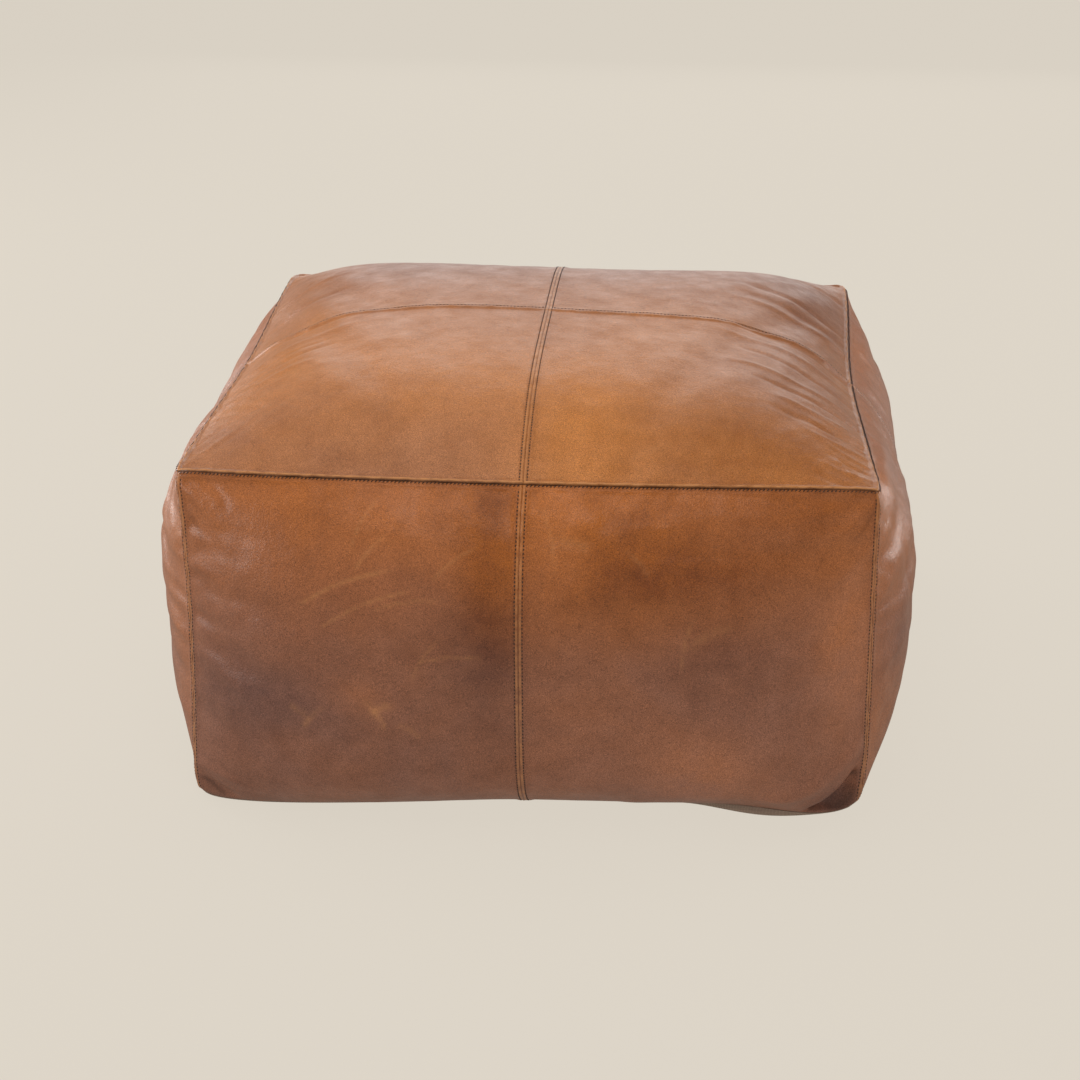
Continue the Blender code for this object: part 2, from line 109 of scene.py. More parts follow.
# Where the front's bottom edge lies further forward: middle, reach and how far
FRONT_EDGE = ((-0.80, 0.30, 0.006), (0.40, 0.26, -0.014), (0.78, 0.20, 0.008))
# The channel along the zip: its height, and half the widths of its roof and of all of it
CHANNEL_RISE = 0.006
CHANNEL_FLAT = 0.017
CHANNEL_REACH = 0.076
ABOVE_FLOOR = 0.0003


def dome(position, power):
    """A crown that is 1 in the middle and 0 at -1 and 1."""
    return 1 - np.abs(position) ** power


def between(low, high, position):
    """Blend from one value at -1 to another at 1."""
    return low + (high - low) * (position + 1) / 2


def smooth(value):
    """Ease a value from 0 to 1."""
    value = np.clip(value, 0, 1)
    return value * value * (3 - 2 * value)


def unit(vectors):
    """Vectors of length 1 in the same directions."""
    length = np.linalg.norm(vectors, axis=-1, keepdims=True)
    return vectors / np.maximum(length, 1e-12)


def top_form(a, b):
    """The top of the stuffed cover."""
    pull_x = between(EDGE_PULL["left"], EDGE_PULL["right"], a)
    pull_y = between(EDGE_PULL["front"], EDGE_PULL["back"], b)
    drop_x = between(EDGE_DROP["left"], EDGE_DROP["right"], a)
    drop_y = between(EDGE_DROP["front"], EDGE_DROP["back"], b)
    notch = TOP_NOTCH * np.exp(-((b - 0.05) / 0.55) ** 2)
    x = a * (HALF_WIDTH - pull_x * dome(b, 2) - notch)
    y = b * (HALF_WIDTH - pull_y * dome(a, 2))
    power = CROWN_POWER[0] + BACK_POWER * smooth(b)
    z = CORNER_HEIGHT + CROWN * dome(a, power) * dome(b, CROWN_POWER[1])
    z = z - CROWN_DIP * dome(a, 2) * dome(b, 2) * np.exp(-((a - 0.35) / 0.4) ** 2)
    z = z - drop_y * dome(a, 2) * b * b - drop_x * dome(b, 2) * a * a
    z = z + BACK_CORNER_RISE * np.abs(a) ** 3 * np.maximum(b, 0) ** 3
    return np.stack([x, y, z], -1)


def base_form(a, b):
    """The underside of the stuffed cover, with the channel that keeps the zip off the floor."""
    pull_x = between(BASE_PULL["left"], BASE_PULL["right"], a)
    pull_y = between(BASE_PULL["front"], BASE_PULL["back"], b)
    half = HALF_BASE + BASE_SPREAD
    x = a * (half - pull_x * dome(b, 2) - BASE_NOTCH * np.exp(-(b / 0.3) ** 2))
    y = b * (half - pull_y * dome(a, 2) - BASE_NOTCH * np.exp(-(a / 0.3) ** 2))
    for centre, reach, forward in FRONT_EDGE:
        y = y - forward * np.exp(-((a - centre) / reach) ** 2) * smooth(-b)
    rim = np.clip((np.maximum(np.abs(a), np.abs(b)) - BASE_FLAT) / (1 - BASE_FLAT), 0, 1)
    middle = dome(a, 2) * b * b + dome(b, 2) * a * a
    lifted = LIFT * np.exp(-((a - 0.68) / 0.2) ** 2 - ((b + 1) / 0.4) ** 2)
    across = smooth((CHANNEL_REACH - np.abs(y)) / (CHANNEL_REACH - CHANNEL_FLAT))
    z = rim ** 2 * (BASE_CORNER + BASE_EDGE_RISE * middle ** 3 + lifted)
    z = z + (1 - rim) * across * CHANNEL_RISE + ABOVE_FLOOR
    y = y - 1.5 * lifted * np.sin(rim * math.pi)
    return np.stack([x, y, z], -1)


def on_cube(face, u, v):
    """The place on a cube from -1 to 1 of a point of a face."""
    one = np.ones_like(u)
    if face == "top":
        return u, v, one
    if face == "base":
        return u, v, -one
    z = 2 * v - 1
    return {"front": (u, -one, z), "right": (one, u, z),
            "back": (-u, one, z), "left": (-one, -u, z)}[face]


def off_cube(face, x, y, z):
    """The face's own coordinates of a place on a cube."""
    if face in ("top", "base"):
        return x, y
    along = {"front": x, "right": y, "back": -x, "left": -y}[face]
    return along, (z + 1) / 2


OUTWARD = {
    "top": (0, 0, 1), "base": (0, 0, -1), "front": (0, -1, 0),
    "right": (1, 0, 0), "back": (0, 1, 0), "left": (-1, 0, 0),
}


def side_form(side, u, height):
    """A side of the stuffed cover: straight from edge to edge, plus its bulge."""
    a, b, _ = on_cube(side, u, height)
    bottom = base_form(a, b)
    top = top_form(a, b)
    widest = WIDEST[side]
    level = height - widest
    upper = 1 - np.abs(level / (1 - widest)) ** RISE_POWER
    lower = 1 - np.abs(level / widest) ** FALL_POWER[side]
    swell = BULGE[side] * dome(u, BULGE_POWER) * np.where(level > 0, upper, lower)
    point = bottom + (top - bottom) * height[..., None]
    return point + swell[..., None] * np.array(OUTWARD[side])


def form(face, u, v):
    """The stuffed cover's smooth surface."""
    u, v = np.broadcast_arrays(np.asarray(u, float), np.asarray(v, float))
    if face == "top":
        point = top_form(u, v)
    elif face == "base":
        point = base_form(u, v)
    else:
        point = side_form(face, u, v)
    return point + corner_shift(face, u, v)


def corner_shift(face, u, v):
    """Round the corners off: they sink in, and the lower ones lift off the floor."""
    x, y, z = on_cube(face, u, v)
    front_top = (y < 0) & (z > 0)
    left_front = (x < 0) & (y < 0)
    right_front_base = (x > 0) & (y < 0) & (z < 0)
    wide = np.abs(x * y) ** 13 * np.abs(z) ** 7
    tight = np.abs(x * y) ** 45 * np.abs(z) ** 20
    full = np.abs(x * y) ** 9 * np.abs(z) ** 6 * front_top
    inward = np.where(z > 0, 0.001 * wide + 0.0035 * tight, 0.004 * wide + 0.003 * tight)
    inward = inward + 0.003 * wide * right_front_base
    upward = np.where(z > 0, -0.001 * wide - 0.003 * tight, 0.004 * wide + 0.003 * tight)
    upward = upward + np.where(x < 0, 0.002, 0) * full
    upward = upward + 0.007 * np.abs(x * y) ** 7 * np.abs(z) ** 7 * right_front_base
    bowed = 0.006 * np.abs(x * y) ** 6 * dome(z, 2) * left_front
    across = bowed + np.sign(x) * (0.004 * full - inward)
    return np.stack([across, -np.sign(y) * inward, upward], -1)


# Folds, from a cloth simulation of the sewn cover and from single strokes

# Each face's grid of folds, filled by the simulation
folds = {}

# Strokes on each face: start and end in hundredths, width and height in mm. A valley's height is
# below 0.
STROKES = {
    "top": (
        (100, -30, 62, -22, 5, -1.6), (100, -42, 58, -36, 4, 1.6), (100, -50, 66, -48, 4, -1.8),
        (100, -60, 72, -58, 4, 1.5), (100, -68, 70, -66, 4.5, -1.6), (100, -76, 80, -74, 3.5, 1.3),
        (100, -16, 55, -8, 5, 1.4), (100, 25, 60, 30, 6, 1.6), (100, -5, 58, 2, 7, -1.8),
        (99, 32, 60, 37, 8, -1.8), (-99, -10, -66, -2, 3, -1.2), (-100, -38, -68, -22, 2.8, -1.3),
        (-100, -56, -74, -38, 2.6, -1.1), (-100, -68, -76, -52, 2.4, 1), (100, 42, 62, 48, 6, -1.8),
        (98, 75, 70, 85, 6, -1.8), (97, -97, 88, -84, 3, 1.6), (93, -99, 82, -93, 3, -1.3),
        (100, -84, 84, -76, 2.2, 1.3), (100, -90, 86, -83, 2, -1.4), (98, -94, 84, -88, 2, 1.3),
        (100, -72, 80, -66, 2.4, -1.3), (100, -64, 84, -62, 2.6, 1.2),
        (-100, -60, -70, -42, 6, 1.6), (-100, -48, -66, -28, 5, -1.6),
        (-100, -30, -60, -12, 7, 1.5), (-100, -82, -78, -68, 4, -1.2), (-98, -97, -86, -80, 4, 1.4),
        (-100, 20, -70, 34, 6, -1.5), (-100, 45, -72, 55, 6, 1.5),
    ),
    "front": (
        (-99, 96, -88, 86, 4, 1.6), (-93, 99, -84, 91, 4, -1.6), (-99, 86, -86, 80, 6, -1.4),
        (-99, 76, -80, 64, 8, 1.6), (-99, 60, -76, 47, 9, -1.8), (-99, 50, -78, 38, 8, 1.4),
        (-98, 30, -80, 24, 8, -1.2), (99, 97, 88, 88, 4, 1.8), (95, 99, 82, 90, 5, -1.8),
        (99, 84, 86, 76, 7, 1.6), (99, 72, 80, 60, 10, -1.4), (100, 15, 85, 0, 8, -15),
        (98, 26, 70, 6, 10, 4.5), (99, 5, 90, 0, 4, 2.5), (-97, 7, -86, 2, 5, -2.5),
        (-99, 12, -84, 9, 5, 1.6), (30, 3, 60, 8, 12, 2),
    ),
    "right": (
        (-94, 97, -72, 55, 8, -2.4), (-84, 99, -56, 56, 9, 2.8), (-72, 100, -40, 60, 9, -2.6),
        (-50, 100, -22, 66, 9, 2.4), (-30, 98, -6, 70, 8, -2.2), (12, 100, 20, 66, 8, 2),
        (40, 98, 36, 60, 9, -2.2), (70, 100, 62, 62, 10, 2.4), (-98, 66, -70, 84, 9, 2.4),
        (-98, 55, -64, 70, 10, -2.6), (-98, 40, -62, 58, 11, 2.2), (-96, 25, -60, 40, 11, -2.2),
        (-97, 12, -66, 22, 9, 2), (-97, 3, -74, 9, 6, -2.2), (97, 20, 70, 36, 10, -2.2),
        (96, 60, 66, 70, 10, 2.2),
    ),
    "back": (
        (-98, 70, -70, 58, 10, 2.4), (-98, 55, -68, 42, 10, -2.4), (98, 62, 70, 74, 10, 2.4),
        (98, 40, 66, 54, 11, -2.4), (-40, 100, -30, 72, 8, -1.8), (30, 100, 42, 70, 9, 1.8),
        (60, 6, 90, 16, 10, -2.4), (-90, 14, -55, 5, 10, 2.4),
    ),
    "left": (
        (98, 78, 74, 90, 8, 2), (98, 62, 66, 78, 10, -2.6), (98, 50, 62, 64, 10, 2.6),
        (98, 36, 64, 46, 9, -2.8), (97, 26, 66, 34, 9, 2.2), (96, 10, 74, 16, 8, -1.8),
        (80, 100, 60, 62, 9, 2), (50, 100, 36, 66, 9, -2.2), (-20, 100, -10, 70, 9, 2),
        (-60, 100, -44, 66, 9, -2), (-98, 50, -70, 60, 10, 2.2), (-98, 30, -68, 40, 10, -2.2),
    ),
}


# How strongly each face's strokes show
STROKE_GAIN = {"top": 0.9, "front": 1.0, "right": 0.4, "back": 0.7, "left": 0.7}


def cubic_weights(t):
    """Catmull-Rom weights of the four samples round a position."""
    return (((-t + 2) * t - 1) * t / 2, ((3 * t - 5) * t * t + 2) / 2,
            ((-3 * t + 4) * t + 1) * t / 2, (t - 1) * t * t / 2)


def sampled(grid, u, v):
    """Read a regular grid of values smoothly, at positions from 0 to 1 both ways."""
    rows, columns = grid.shape[:2]
    x = np.clip(u, 0, 1) * (rows - 1)
    y = np.clip(v, 0, 1) * (columns - 1)
    i = np.clip(np.floor(x).astype(int), 0, rows - 2)
    j = np.clip(np.floor(y).astype(int), 0, columns - 2)
    across = cubic_weights(x - i)
    up = cubic_weights(y - j)
    total = 0
    for di in range(4):
        row = np.clip(i + di - 1, 0, rows - 1)
        for dj in range(4):
            column = np.clip(j + dj - 1, 0, columns - 1)
            total = total + (across[di] * up[dj])[..., None] * grid[row, column]
    return total


def place(face, u, v):
    """The cover's surface with its folds, but without its seams."""
    u, v = np.broadcast_arrays(np.asarray(u, float), np.asarray(v, float))
    point = form(face, u, v)
    if face in folds:
        up = v if face in SIDES else (v + 1) / 2
        point = point + sampled(folds[face], (u + 1) / 2, up)
    height = 0 * u
    for stroke in STROKES.get(face, ()):
        height = height + STROKE_GAIN[face] * stroke_height(face, u, v, *stroke)
    return point + height[..., None] * fold_direction(face, u, v)


def fold_direction(face, u, v):
    """Roughly outward from the cover's surface."""
    if face == "base":
        return np.stack([0 * u, 0 * u, 0 * u - 1], -1)
    x, y, z = on_cube(face, u, v)
    if face == "top":
        return unit(np.stack([0.5 * x ** 5, 0.5 * y ** 5, 1 + 0 * x], -1))
    return unit(np.stack([x * np.abs(x) ** 3, y * np.abs(y) ** 3, 0.3 * z], -1))


def stroke_height(face, u, v, start_u, start_v, end_u, end_v, width, height):
    """A ridge, or a valley where its height is below 0, along a line on a face.

    The line's ends are in hundredths of the face's coordinates. Width and height are in mm.
    """
    scale_v = CORNER_HEIGHT if face in SIDES else HALF_WIDTH
    start = np.array([start_u, start_v]) / 100 * (HALF_WIDTH, scale_v)
    run = np.array([end_u, end_v]) / 100 * (HALF_WIDTH, scale_v) - start
    length = np.hypot(*run)
    x = u * HALF_WIDTH - start[0]
    y = v * scale_v - start[1]
    along = (x * run[0] + y * run[1]) / length ** 2
    across = (x * run[1] - y * run[0]) / length
    across = across + 0.06 * length * np.sin(along * math.pi)
    beyond = np.maximum(np.maximum(-along, along - 1), 0) * length
    taper = smooth(1.4 * np.sin(np.clip(along * 0.8 + 0.12, 0, 1) * math.pi))
    distance = (across ** 2 + beyond ** 2) / (width * MM) ** 2
    low_v = 0 if face in SIDES else -1
    from_edge = np.minimum((1 - np.abs(u)) * HALF_WIDTH, np.minimum(1 - v, v - low_v) * scale_v)
    return height * MM * taper * np.exp(-distance) * smooth(from_edge / (7 * MM))


def face_normal(face, u, v):
    """Outward from the cover's surface."""
    step = 0.004
    low_v = 0 if face in SIDES else -1
    u0 = np.clip(u - step, -1, 1)
    u1 = np.clip(u + step, -1, 1)
    v0 = np.clip(v - step, low_v, 1)
    v1 = np.clip(v + step, low_v, 1)
    along = place(face, u1, v) - place(face, u0, v)
    up = place(face, u, v1) - place(face, u, v0)
    normal = unit(np.cross(along, up))
    return -normal if face == "base" else normal


def seam_normal(face, u, v):
    """The direction midway between all the faces that meet at a point."""
    x, y, z = on_cube(face, u, v)
    planes = {"top": z, "base": -z, "front": -y, "right": x, "back": y, "left": -x}
    total = 0
    for other in FACES:
        here = planes[other] > 1 - 1e-9
        other_u, other_v = off_cube(other, x, y, z)
        total = total + face_normal(other, other_u, other_v) * here[..., None]
    return unit(total)


def mesh_piece(name, points, faces, attributes=None):
    """A smooth object, with a value at each point for each attribute."""
    mesh = bpy.data.meshes.new(name)
    mesh.from_pydata(points.tolist(), [], faces.tolist())
    for key, values in (attributes or {}).items():
        layer = mesh.attributes.new(key, "FLOAT", "POINT")
        layer.data.foreach_set("value", np.asarray(values, np.float32).ravel())
    mesh.shade_smooth()
    mesh.update()
    piece = bpy.data.objects.new(name, mesh)
    bpy.context.scene.collection.objects.link(piece)
    return piece


def sewn_shell(cells, rows, faces):
    """Grids over some faces that share their points along the edges between them.

    Returns each point's place on the cube and each face's grid of point numbers.
    """
    places, shapes = [], []
    for face in faces:
        u = np.linspace(-1, 1, cells + 1)
        v = np.linspace(0, 1, rows + 1) if face in SIDES else u
        u, v = np.meshgrid(u, v, indexing="ij")
        places.append(np.stack(on_cube(face, u, v), -1).reshape(-1, 3))
        shapes.append(u.shape)
    keys = np.round(np.concatenate(places) * 1e5).astype(int)
    _, first, inverse = np.unique(keys, axis=0, return_index=True, return_inverse=True)
    inverse = inverse.ravel()
    grids, start = {}, 0
    for face, shape in zip(faces, shapes):
        size = shape[0] * shape[1]
        grids[face] = inverse[start:start + size].reshape(shape)
        start += size
    return np.concatenate(places)[first], grids


def shell_points(grids, surface):
    """The points of a sewn shell on a surface."""
    count = 1 + max(grid.max() for grid in grids.values())
    points = np.zeros((count, 3))
    for face, grid in grids.items():
        u = np.linspace(-1, 1, grid.shape[0])
        v = np.linspace(0, 1, grid.shape[1]) if face in SIDES else u
        u, v = np.meshgrid(u, v, indexing="ij")
        points[grid] = surface(face, u, v)
    return points


def quads_of(grid, flip=False):
    """The four-sided faces of a grid of point numbers."""
    corners = [grid[:-1, :-1], grid[1:, :-1], grid[1:, 1:], grid[:-1, 1:]]
    faces = np.stack(corners, -1).reshape(-1, 4)
    return faces[:, ::-1] if flip else faces


def grid_faces(rows, columns, flip=False):
    return quads_of(np.arange(rows * columns).reshape(rows, columns), flip)


def shell_faces(grids):
    return np.concatenate([quads_of(grid, face == "base") for face, grid in grids.items()])


CUT_WIDTH = 0.612           # of the flat panels before the cover is sewn and stuffed
CUT_HEIGHT = 0.350
CLOTH_CELLS = 60            # across a face
CLOTH_ROWS = 34             # up a side
SEWN_BY = 13                # the frame at which the panels have reached their sewn form
LAST_FRAME = 28
# The leather as cloth. The pressure is that of the filling.
CLOTH = {
    "quality": 5, "mass": 0.3, "air_damping": 2,
    "tension_stiffness": 40, "compression_stiffness": 40, "shear_stiffness": 20,
    "bending_stiffness": 0.5, "tension_damping": 15, "compression_damping": 15,
    "shear_damping": 10, "bending_damping": 2, "pin_stiffness": 10,
    "use_pressure": True, "uniform_pressure_force": 6, "vertex_group_mass": "held",
}
SMOOTHING = 60              # rounds. What is left is the folds, without the broad bulging
# How strongly each face's folds show
FOLD_GAIN = {"top": 0.18, "front": 0.28, "right": 0.27, "back": 0.40, "left": 0.32}


def simulate_cover():
    """Sew and stuff the cover as cloth, and keep the folds that form as each face's grid."""
    faces = ("top",) + SIDES
    cube, grids = sewn_shell(CLOTH_CELLS, CLOTH_ROWS, faces)
    sewn = shell_points(grids, form)
    cut = cube * (CUT_WIDTH / 2, CUT_WIDTH / 2, CUT_HEIGHT / 2) + (0, 0, CUT_HEIGHT / 2)
    cloth = mesh_piece("cloth", cut, shell_faces(grids))
    cloth.shape_key_add(name="cut")
    key = cloth.shape_key_add(name="sewn")
    key.data.foreach_set("co", sewn.ravel().astype(np.float32))
    for value, moment in ((0, 1), (1, SEWN_BY)):
        key.value = value
        key.keyframe_insert("value", frame=moment)
    on_side = np.abs(cube[:, :2]) > 0.999
    bottom = cube[:, 2] < -0.999
    seams = (cube[:, 2] > 0.999) & on_side.any(1) | on_side.all(1) | bottom
    held = cloth.vertex_groups.new(name="held")
    held.add(np.where(seams)[0].tolist(), 1.0, "REPLACE")
    cover = cloth.modifiers.new("cloth", "CLOTH")
    settings = cover.settings
    for key, value in CLOTH.items():
        setattr(settings, key, value)
    settings.effector_weights.gravity = 0
    cover.collision_settings.use_collision = False
    cover.point_cache.frame_end = LAST_FRAME
    scene = bpy.context.scene
    for moment in range(1, LAST_FRAME + 1):
        scene.frame_set(moment)
    evaluated = cloth.evaluated_get(bpy.context.evaluated_depsgraph_get())
    stuffed = np.zeros(len(cut) * 3, np.float32)
    evaluated.data.vertices.foreach_get("co", stuffed)
    moved = stuffed.reshape(-1, 3) - sewn
    bpy.data.objects.remove(cloth)
    for action in list(bpy.data.actions):
        bpy.data.actions.remove(action)
    scene.frame_set(1)
    moved = moved - relaxed(moved, shell_faces(grids), seams, SMOOTHING)
    for face, grid in grids.items():
        field = moved[grid] * FOLD_GAIN[face]
        if face in SIDES:
            field = field * smooth(np.linspace(-0.3, 1.8, grid.shape[1]))[None, :, None]
        folds[face] = field


def relaxed(values, quads, held, rounds):
    """Spread values evenly over a mesh, with 0 kept at the held points."""
    pairs = np.concatenate([quads[:, [k, (k + 1) % 4]] for k in range(4)])
    pairs = np.unique(np.sort(pairs, 1), axis=0)
    one = np.concatenate([pairs[:, 0], pairs[:, 1]])
    other = np.concatenate([pairs[:, 1], pairs[:, 0]])
    count = np.bincount(one, minlength=len(values))[:, None]
    values = values.copy()
    for _ in range(rounds):
        total = np.stack([np.bincount(one, part[other], len(values)) for part in values.T], -1)
        values = 0.5 * values + 0.5 * total / count
        values[held] = 0
    return values


# Panels

# Distances from a seam of the grid lines beside it, the size of the other cells, the edges of a
# panel in the order that its kinds of seam are given, and how far stitches lie from a seam
NEAR_SEAM = np.array([0, 0.3, 0.7, 1.1, 1.6, 2.2, 2.8, 3.3, 3.8, 4.5, 5.5, 6.8, 8.6, 11]) * MM
CELL = 2.9 * MM
EDGES = ("start", "end", "bottom", "top")
STITCH_INSET = 3.3 * MM
PANEL_STEPS = 121           # places each way at which a panel is measured
SEAM_TURN = 2.5 * MM        # from a seam, over which the leather turns towards its other panel
PUCKER = 0.35               # unevenness of the leather over a seam allowance
ROW_WIDTH = 0.8 * MM        # of the channel under a row of stitches
CREASE_SHADE_WIDTH = 0.75 * MM      # of the painted shade line in a crease
# Ripples that run in from a seam: their height, reach and length
WAVE_HEIGHT = 0.18 * MM
WAVE_REACH = 12 * MM
WAVE_STRETCH = 2.2

# For each kind of seam, in mm: the depth and width of its crease; the height of the leather over the
# seam allowance and how far that reaches; the depth of the channel that a row of stitches pulls down;
# then how dark the painted shade in the crease is, how much lighter the leather next to it is, partly
# from worn leather and partly as painted highlight, and from where to where
SEAM_KINDS = {
    "pressed": (0.4, 0.45, 0.75, 6.5, 0.5, 0.10, 0.55, 0.3, 2.6),
    "raised": (0.8, 0.6, 1.3, 6.0, 0.0, 0.7, 0.4, 1.0, 3.0),
    "laid": (0.9, 0.7, 0.5, 6.5, 0.45, 0.7, 0.2, 1.0, 3.0),
    "rolled": (1.1, 0.7, 1.5, 4.0, 0.0, 0.6, 0.9, 0.6, 2.6),
    "stitched": (1.0, 0.8, 0.9, 6.0, 0.5, 0.7, 0.0, 1.0, 2.0),
    "turned": (0.6, 2.0, 0.0, 5.0, 0.0, 0.6, 0.0, 1.0, 2.0),
}


class Panel:
    """A patch of a face between two positions each way, with a kind of seam along each edge."""

    def __init__(self, name, face, u_range, v_range, kinds):
        self.name = name
        self.face = face
        self.u_range = u_range
        self.v_range = v_range
        self.kinds = dict(zip(EDGES, kinds))
        steps = np.linspace(0, 1, PANEL_STEPS)
        self.steps = steps
        p, q = np.meshgrid(steps, steps, indexing="ij")
        points = place(face, *self.coordinates(p, q))
        along = np.linalg.norm(np.diff(points, axis=0), axis=-1)
        up = np.linalg.norm(np.diff(points, axis=1), axis=-1)
        zero_row = np.zeros((1, len(steps)))
        self.along = np.concatenate([zero_row, np.cumsum(along, 0)], 0)
        self.up = np.concatenate([zero_row.T, np.cumsum(up, 1)], 1)
        ends = {"start": (0 * steps, steps), "end": (0 * steps + 1, steps),
                "bottom": (steps, 0 * steps), "top": (steps, 0 * steps + 1)}
        self.seam_normals = {edge: seam_normal(face, *self.coordinates(*ends[edge]))
                             for edge in EDGES}

    def coordinates(self, p, q):
        """The face's coordinates of a place from 0 to 1 both ways on the panel."""
        u0, u1 = self.u_range
        v0, v1 = self.v_range
        return u0 + (u1 - u0) * p, v0 + (v1 - v0) * q

    def distances(self, p, q):
        """How far places on the panel are from each of its edges, along its surface."""
        tables = np.stack([self.along, self.up], -1)
        here = sampled(tables, p, q)
        length = np.interp(q, self.steps, self.along[-1])
        height = np.interp(p, self.steps, self.up[:, -1])
        return {"start": here[..., 0], "end": length - here[..., 0],
                "bottom": here[..., 1], "top": height - here[..., 1]}

    def lines(self, length):
        """Grid lines across a length, close together near the seams at both ends."""
        reach = NEAR_SEAM[-1]
        count = int(round((length - 2 * reach) / CELL))
        middle = np.linspace(reach, length - reach, count + 1)[1:-1]
        return np.concatenate([NEAR_SEAM, middle, length - NEAR_SEAM[::-1]])

    def grid(self):
        """Places of the panel's grid, at even distances from its seams."""
        middle = len(self.steps) // 2
        p_lines, q_lines = [self.lines(total) / total
                            for total in (self.along[-1, middle], self.up[middle, -1])]
        p, q = np.meshgrid(p_lines, q_lines, indexing="ij")
        for j, q_line in enumerate(q_lines):
            p[:, j] = self.spread(self.along, q_line, p_lines)
        for i, p_line in enumerate(p_lines):
            q[i, :] = self.spread(self.up.T, p_line, q_lines)
        return p, q

    def spread(self, lengths, line, lines):
        """Places along one grid line at which the grid lines of the other way cross it."""
        table = [np.interp(line, self.steps, row) for row in lengths]
        return np.interp(self.stretched(lines, table[-1]), table, self.steps)

    def stretched(self, lines, length):
        """Distances along a row of that length, with the spacing near both seams kept."""
        count = len(NEAR_SEAM)
        reach = NEAR_SEAM[-1]
        middle = lines[count:-count] - lines[count - 1]
        middle = middle / (lines[-count] - lines[count - 1])
        return np.concatenate([NEAR_SEAM, reach + middle * (length - 2 * reach),
                               length - NEAR_SEAM[::-1]])

    def surface(self, p, q):
        """Points of the finished surface, with seam distance, painted crease shade, and worn leather
        with painted highlight.
        """
        u, v = self.coordinates(p, q)
        point = place(self.face, u, v)
        normal = face_normal(self.face, u, v)
        direction = normal
        ridge = 0 * p
        sunk = 0 * p
        apart = self.distances(p, q)
        nearest = np.full(p.shape, 1.0)
        dark = 0 * p
        rub_and_highlight = 0 * p
        for edge in EDGES:
            kind = SEAM_KINDS[self.kinds[edge]]
            depth, width, height, reach, channel = [value * MM for value in kind[:5]]
            shade, wear_and_shading, lighter_start, lighter_end = kind[5:]
            distance = np.maximum(apart[edge], 0)
            nearest = np.minimum(nearest, distance)
            position = q if edge in ("start", "end") else p
            seam = np.stack([np.interp(position, self.steps, part)
                             for part in self.seam_normals[edge].T], -1)
            pull = np.exp(-(distance / SEAM_TURN) ** 2)[..., None]
            direction = direction + pull * (seam - normal)
            crease = depth * np.exp(-(distance / width) ** 2)
            rise = height * (1 - smooth((distance - 0.55 * reach) / (0.8 * reach)))
            along = self.length_along(edge, p, q)
            pucker = 1 + PUCKER * ripple(along * 1000, self.seed(edge))
            row = channel * np.exp(-((distance - STITCH_INSET) / ROW_WIDTH) ** 2)
            ridge = np.maximum(ridge, rise * pucker - row)
            sunk = np.maximum(sunk, crease)
            waves = ripple(along * 1000 / WAVE_STRETCH, self.seed(edge) + 7)
            # Painted shade: a dark line along the crease of each seam
            dark = np.maximum(dark, shade * np.exp(-(distance / CREASE_SHADE_WIDTH) ** 2))
            # A lighter strip next to the seam, partly worn leather and partly painted highlight
            begun = smooth(distance / MM - lighter_start + 0.5)
            ended = smooth(lighter_end + 0.5 - distance / MM)
            rub_and_highlight = np.maximum(rub_and_highlight, wear_and_shading * (begun * ended))
            ridge = ridge + WAVE_HEIGHT * waves * np.exp(-distance / WAVE_REACH) * (distance > 0)
        point = point + unit(direction) * (ridge - sunk)[..., None]
        return point, {"seam": nearest * 1000, "crease": dark, "rub_and_highlight": rub_and_highlight}

    def seed(self, edge):
        """A number that makes the ripples of each seam differ."""
        return sum(map(ord, self.name)) % 17 + EDGES.index(edge)

    def length_along(self, edge, p, q):
        """How far along a seam each place lies."""
        if edge in ("start", "end"):
            table = self.up[0] if edge == "start" else self.up[-1]
            return np.interp(q, self.steps, table)
        table = self.along[:, 0] if edge == "bottom" else self.along[:, -1]
        return np.interp(p, self.steps, table)


def ripple(millimetres, seed):
    """A wave of uneven length, from -1 to 1."""
    phase = 1.7 * seed
    return (0.5 * np.sin(millimetres / 3.1 + phase) + 0.3 * np.sin(millimetres / 1.9 + 2.3 * phase)
            + 0.2 * np.sin(millimetres / 5.3 + 0.7 * phase))


def thicken(piece, thickness):
    """Give a sheet its thickness, on its inner side."""
    skin = piece.modifiers.new("thickness", "SOLIDIFY")
    skin.thickness = thickness
    skin.offset = -1


def present(piece, material, piece_slot, *cad_nodes):
    """Give a piece its material, put it in the cover's body and hide the CAD nodes that it replaces.
    Its slot is not used.
    """
    piece.data.materials.append(material)
    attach(piece, "cover")
    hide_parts(*cad_nodes)


LEATHER = 1.6 * MM
LOWEST_LEATHER = 0.4 * MM   # above the floor


def leather_piece(panel, material, piece_slot, cad_node):
    """The leather of a panel, with how worn it is, its painted shade and highlight, and its colour as
    values at each point.
    """
    p, q = panel.grid()
    points, wear_and_shading = panel.surface(p, q)
    points[..., 2] = np.maximum(points[..., 2], LOWEST_LEATHER)
    u, v = panel.coordinates(p, q)
    tone, shade = patina(panel.face, u, v)
    # Painted shade along the fold creases adds to the crease values
    for crease in CREASE_SHADES.get(panel.face, ()):
        wear_and_shading["crease"] = wear_and_shading["crease"] + stroke_height(panel.face, u, v, *crease) / MM
    for scuff in SCUFFS.get(panel.face, ()):
        wear_and_shading["rub_and_highlight"] = wear_and_shading["rub_and_highlight"] + stroke_height(panel.face, u, v, *scuff) / MM
    piece = mesh_piece(panel.name, points.reshape(-1, 3), grid_faces(*p.shape), {
        **wear_and_shading, "tone": tone, "shade": shade})
    thicken(piece, LEATHER)
    present(piece, material, piece_slot, cad_node)


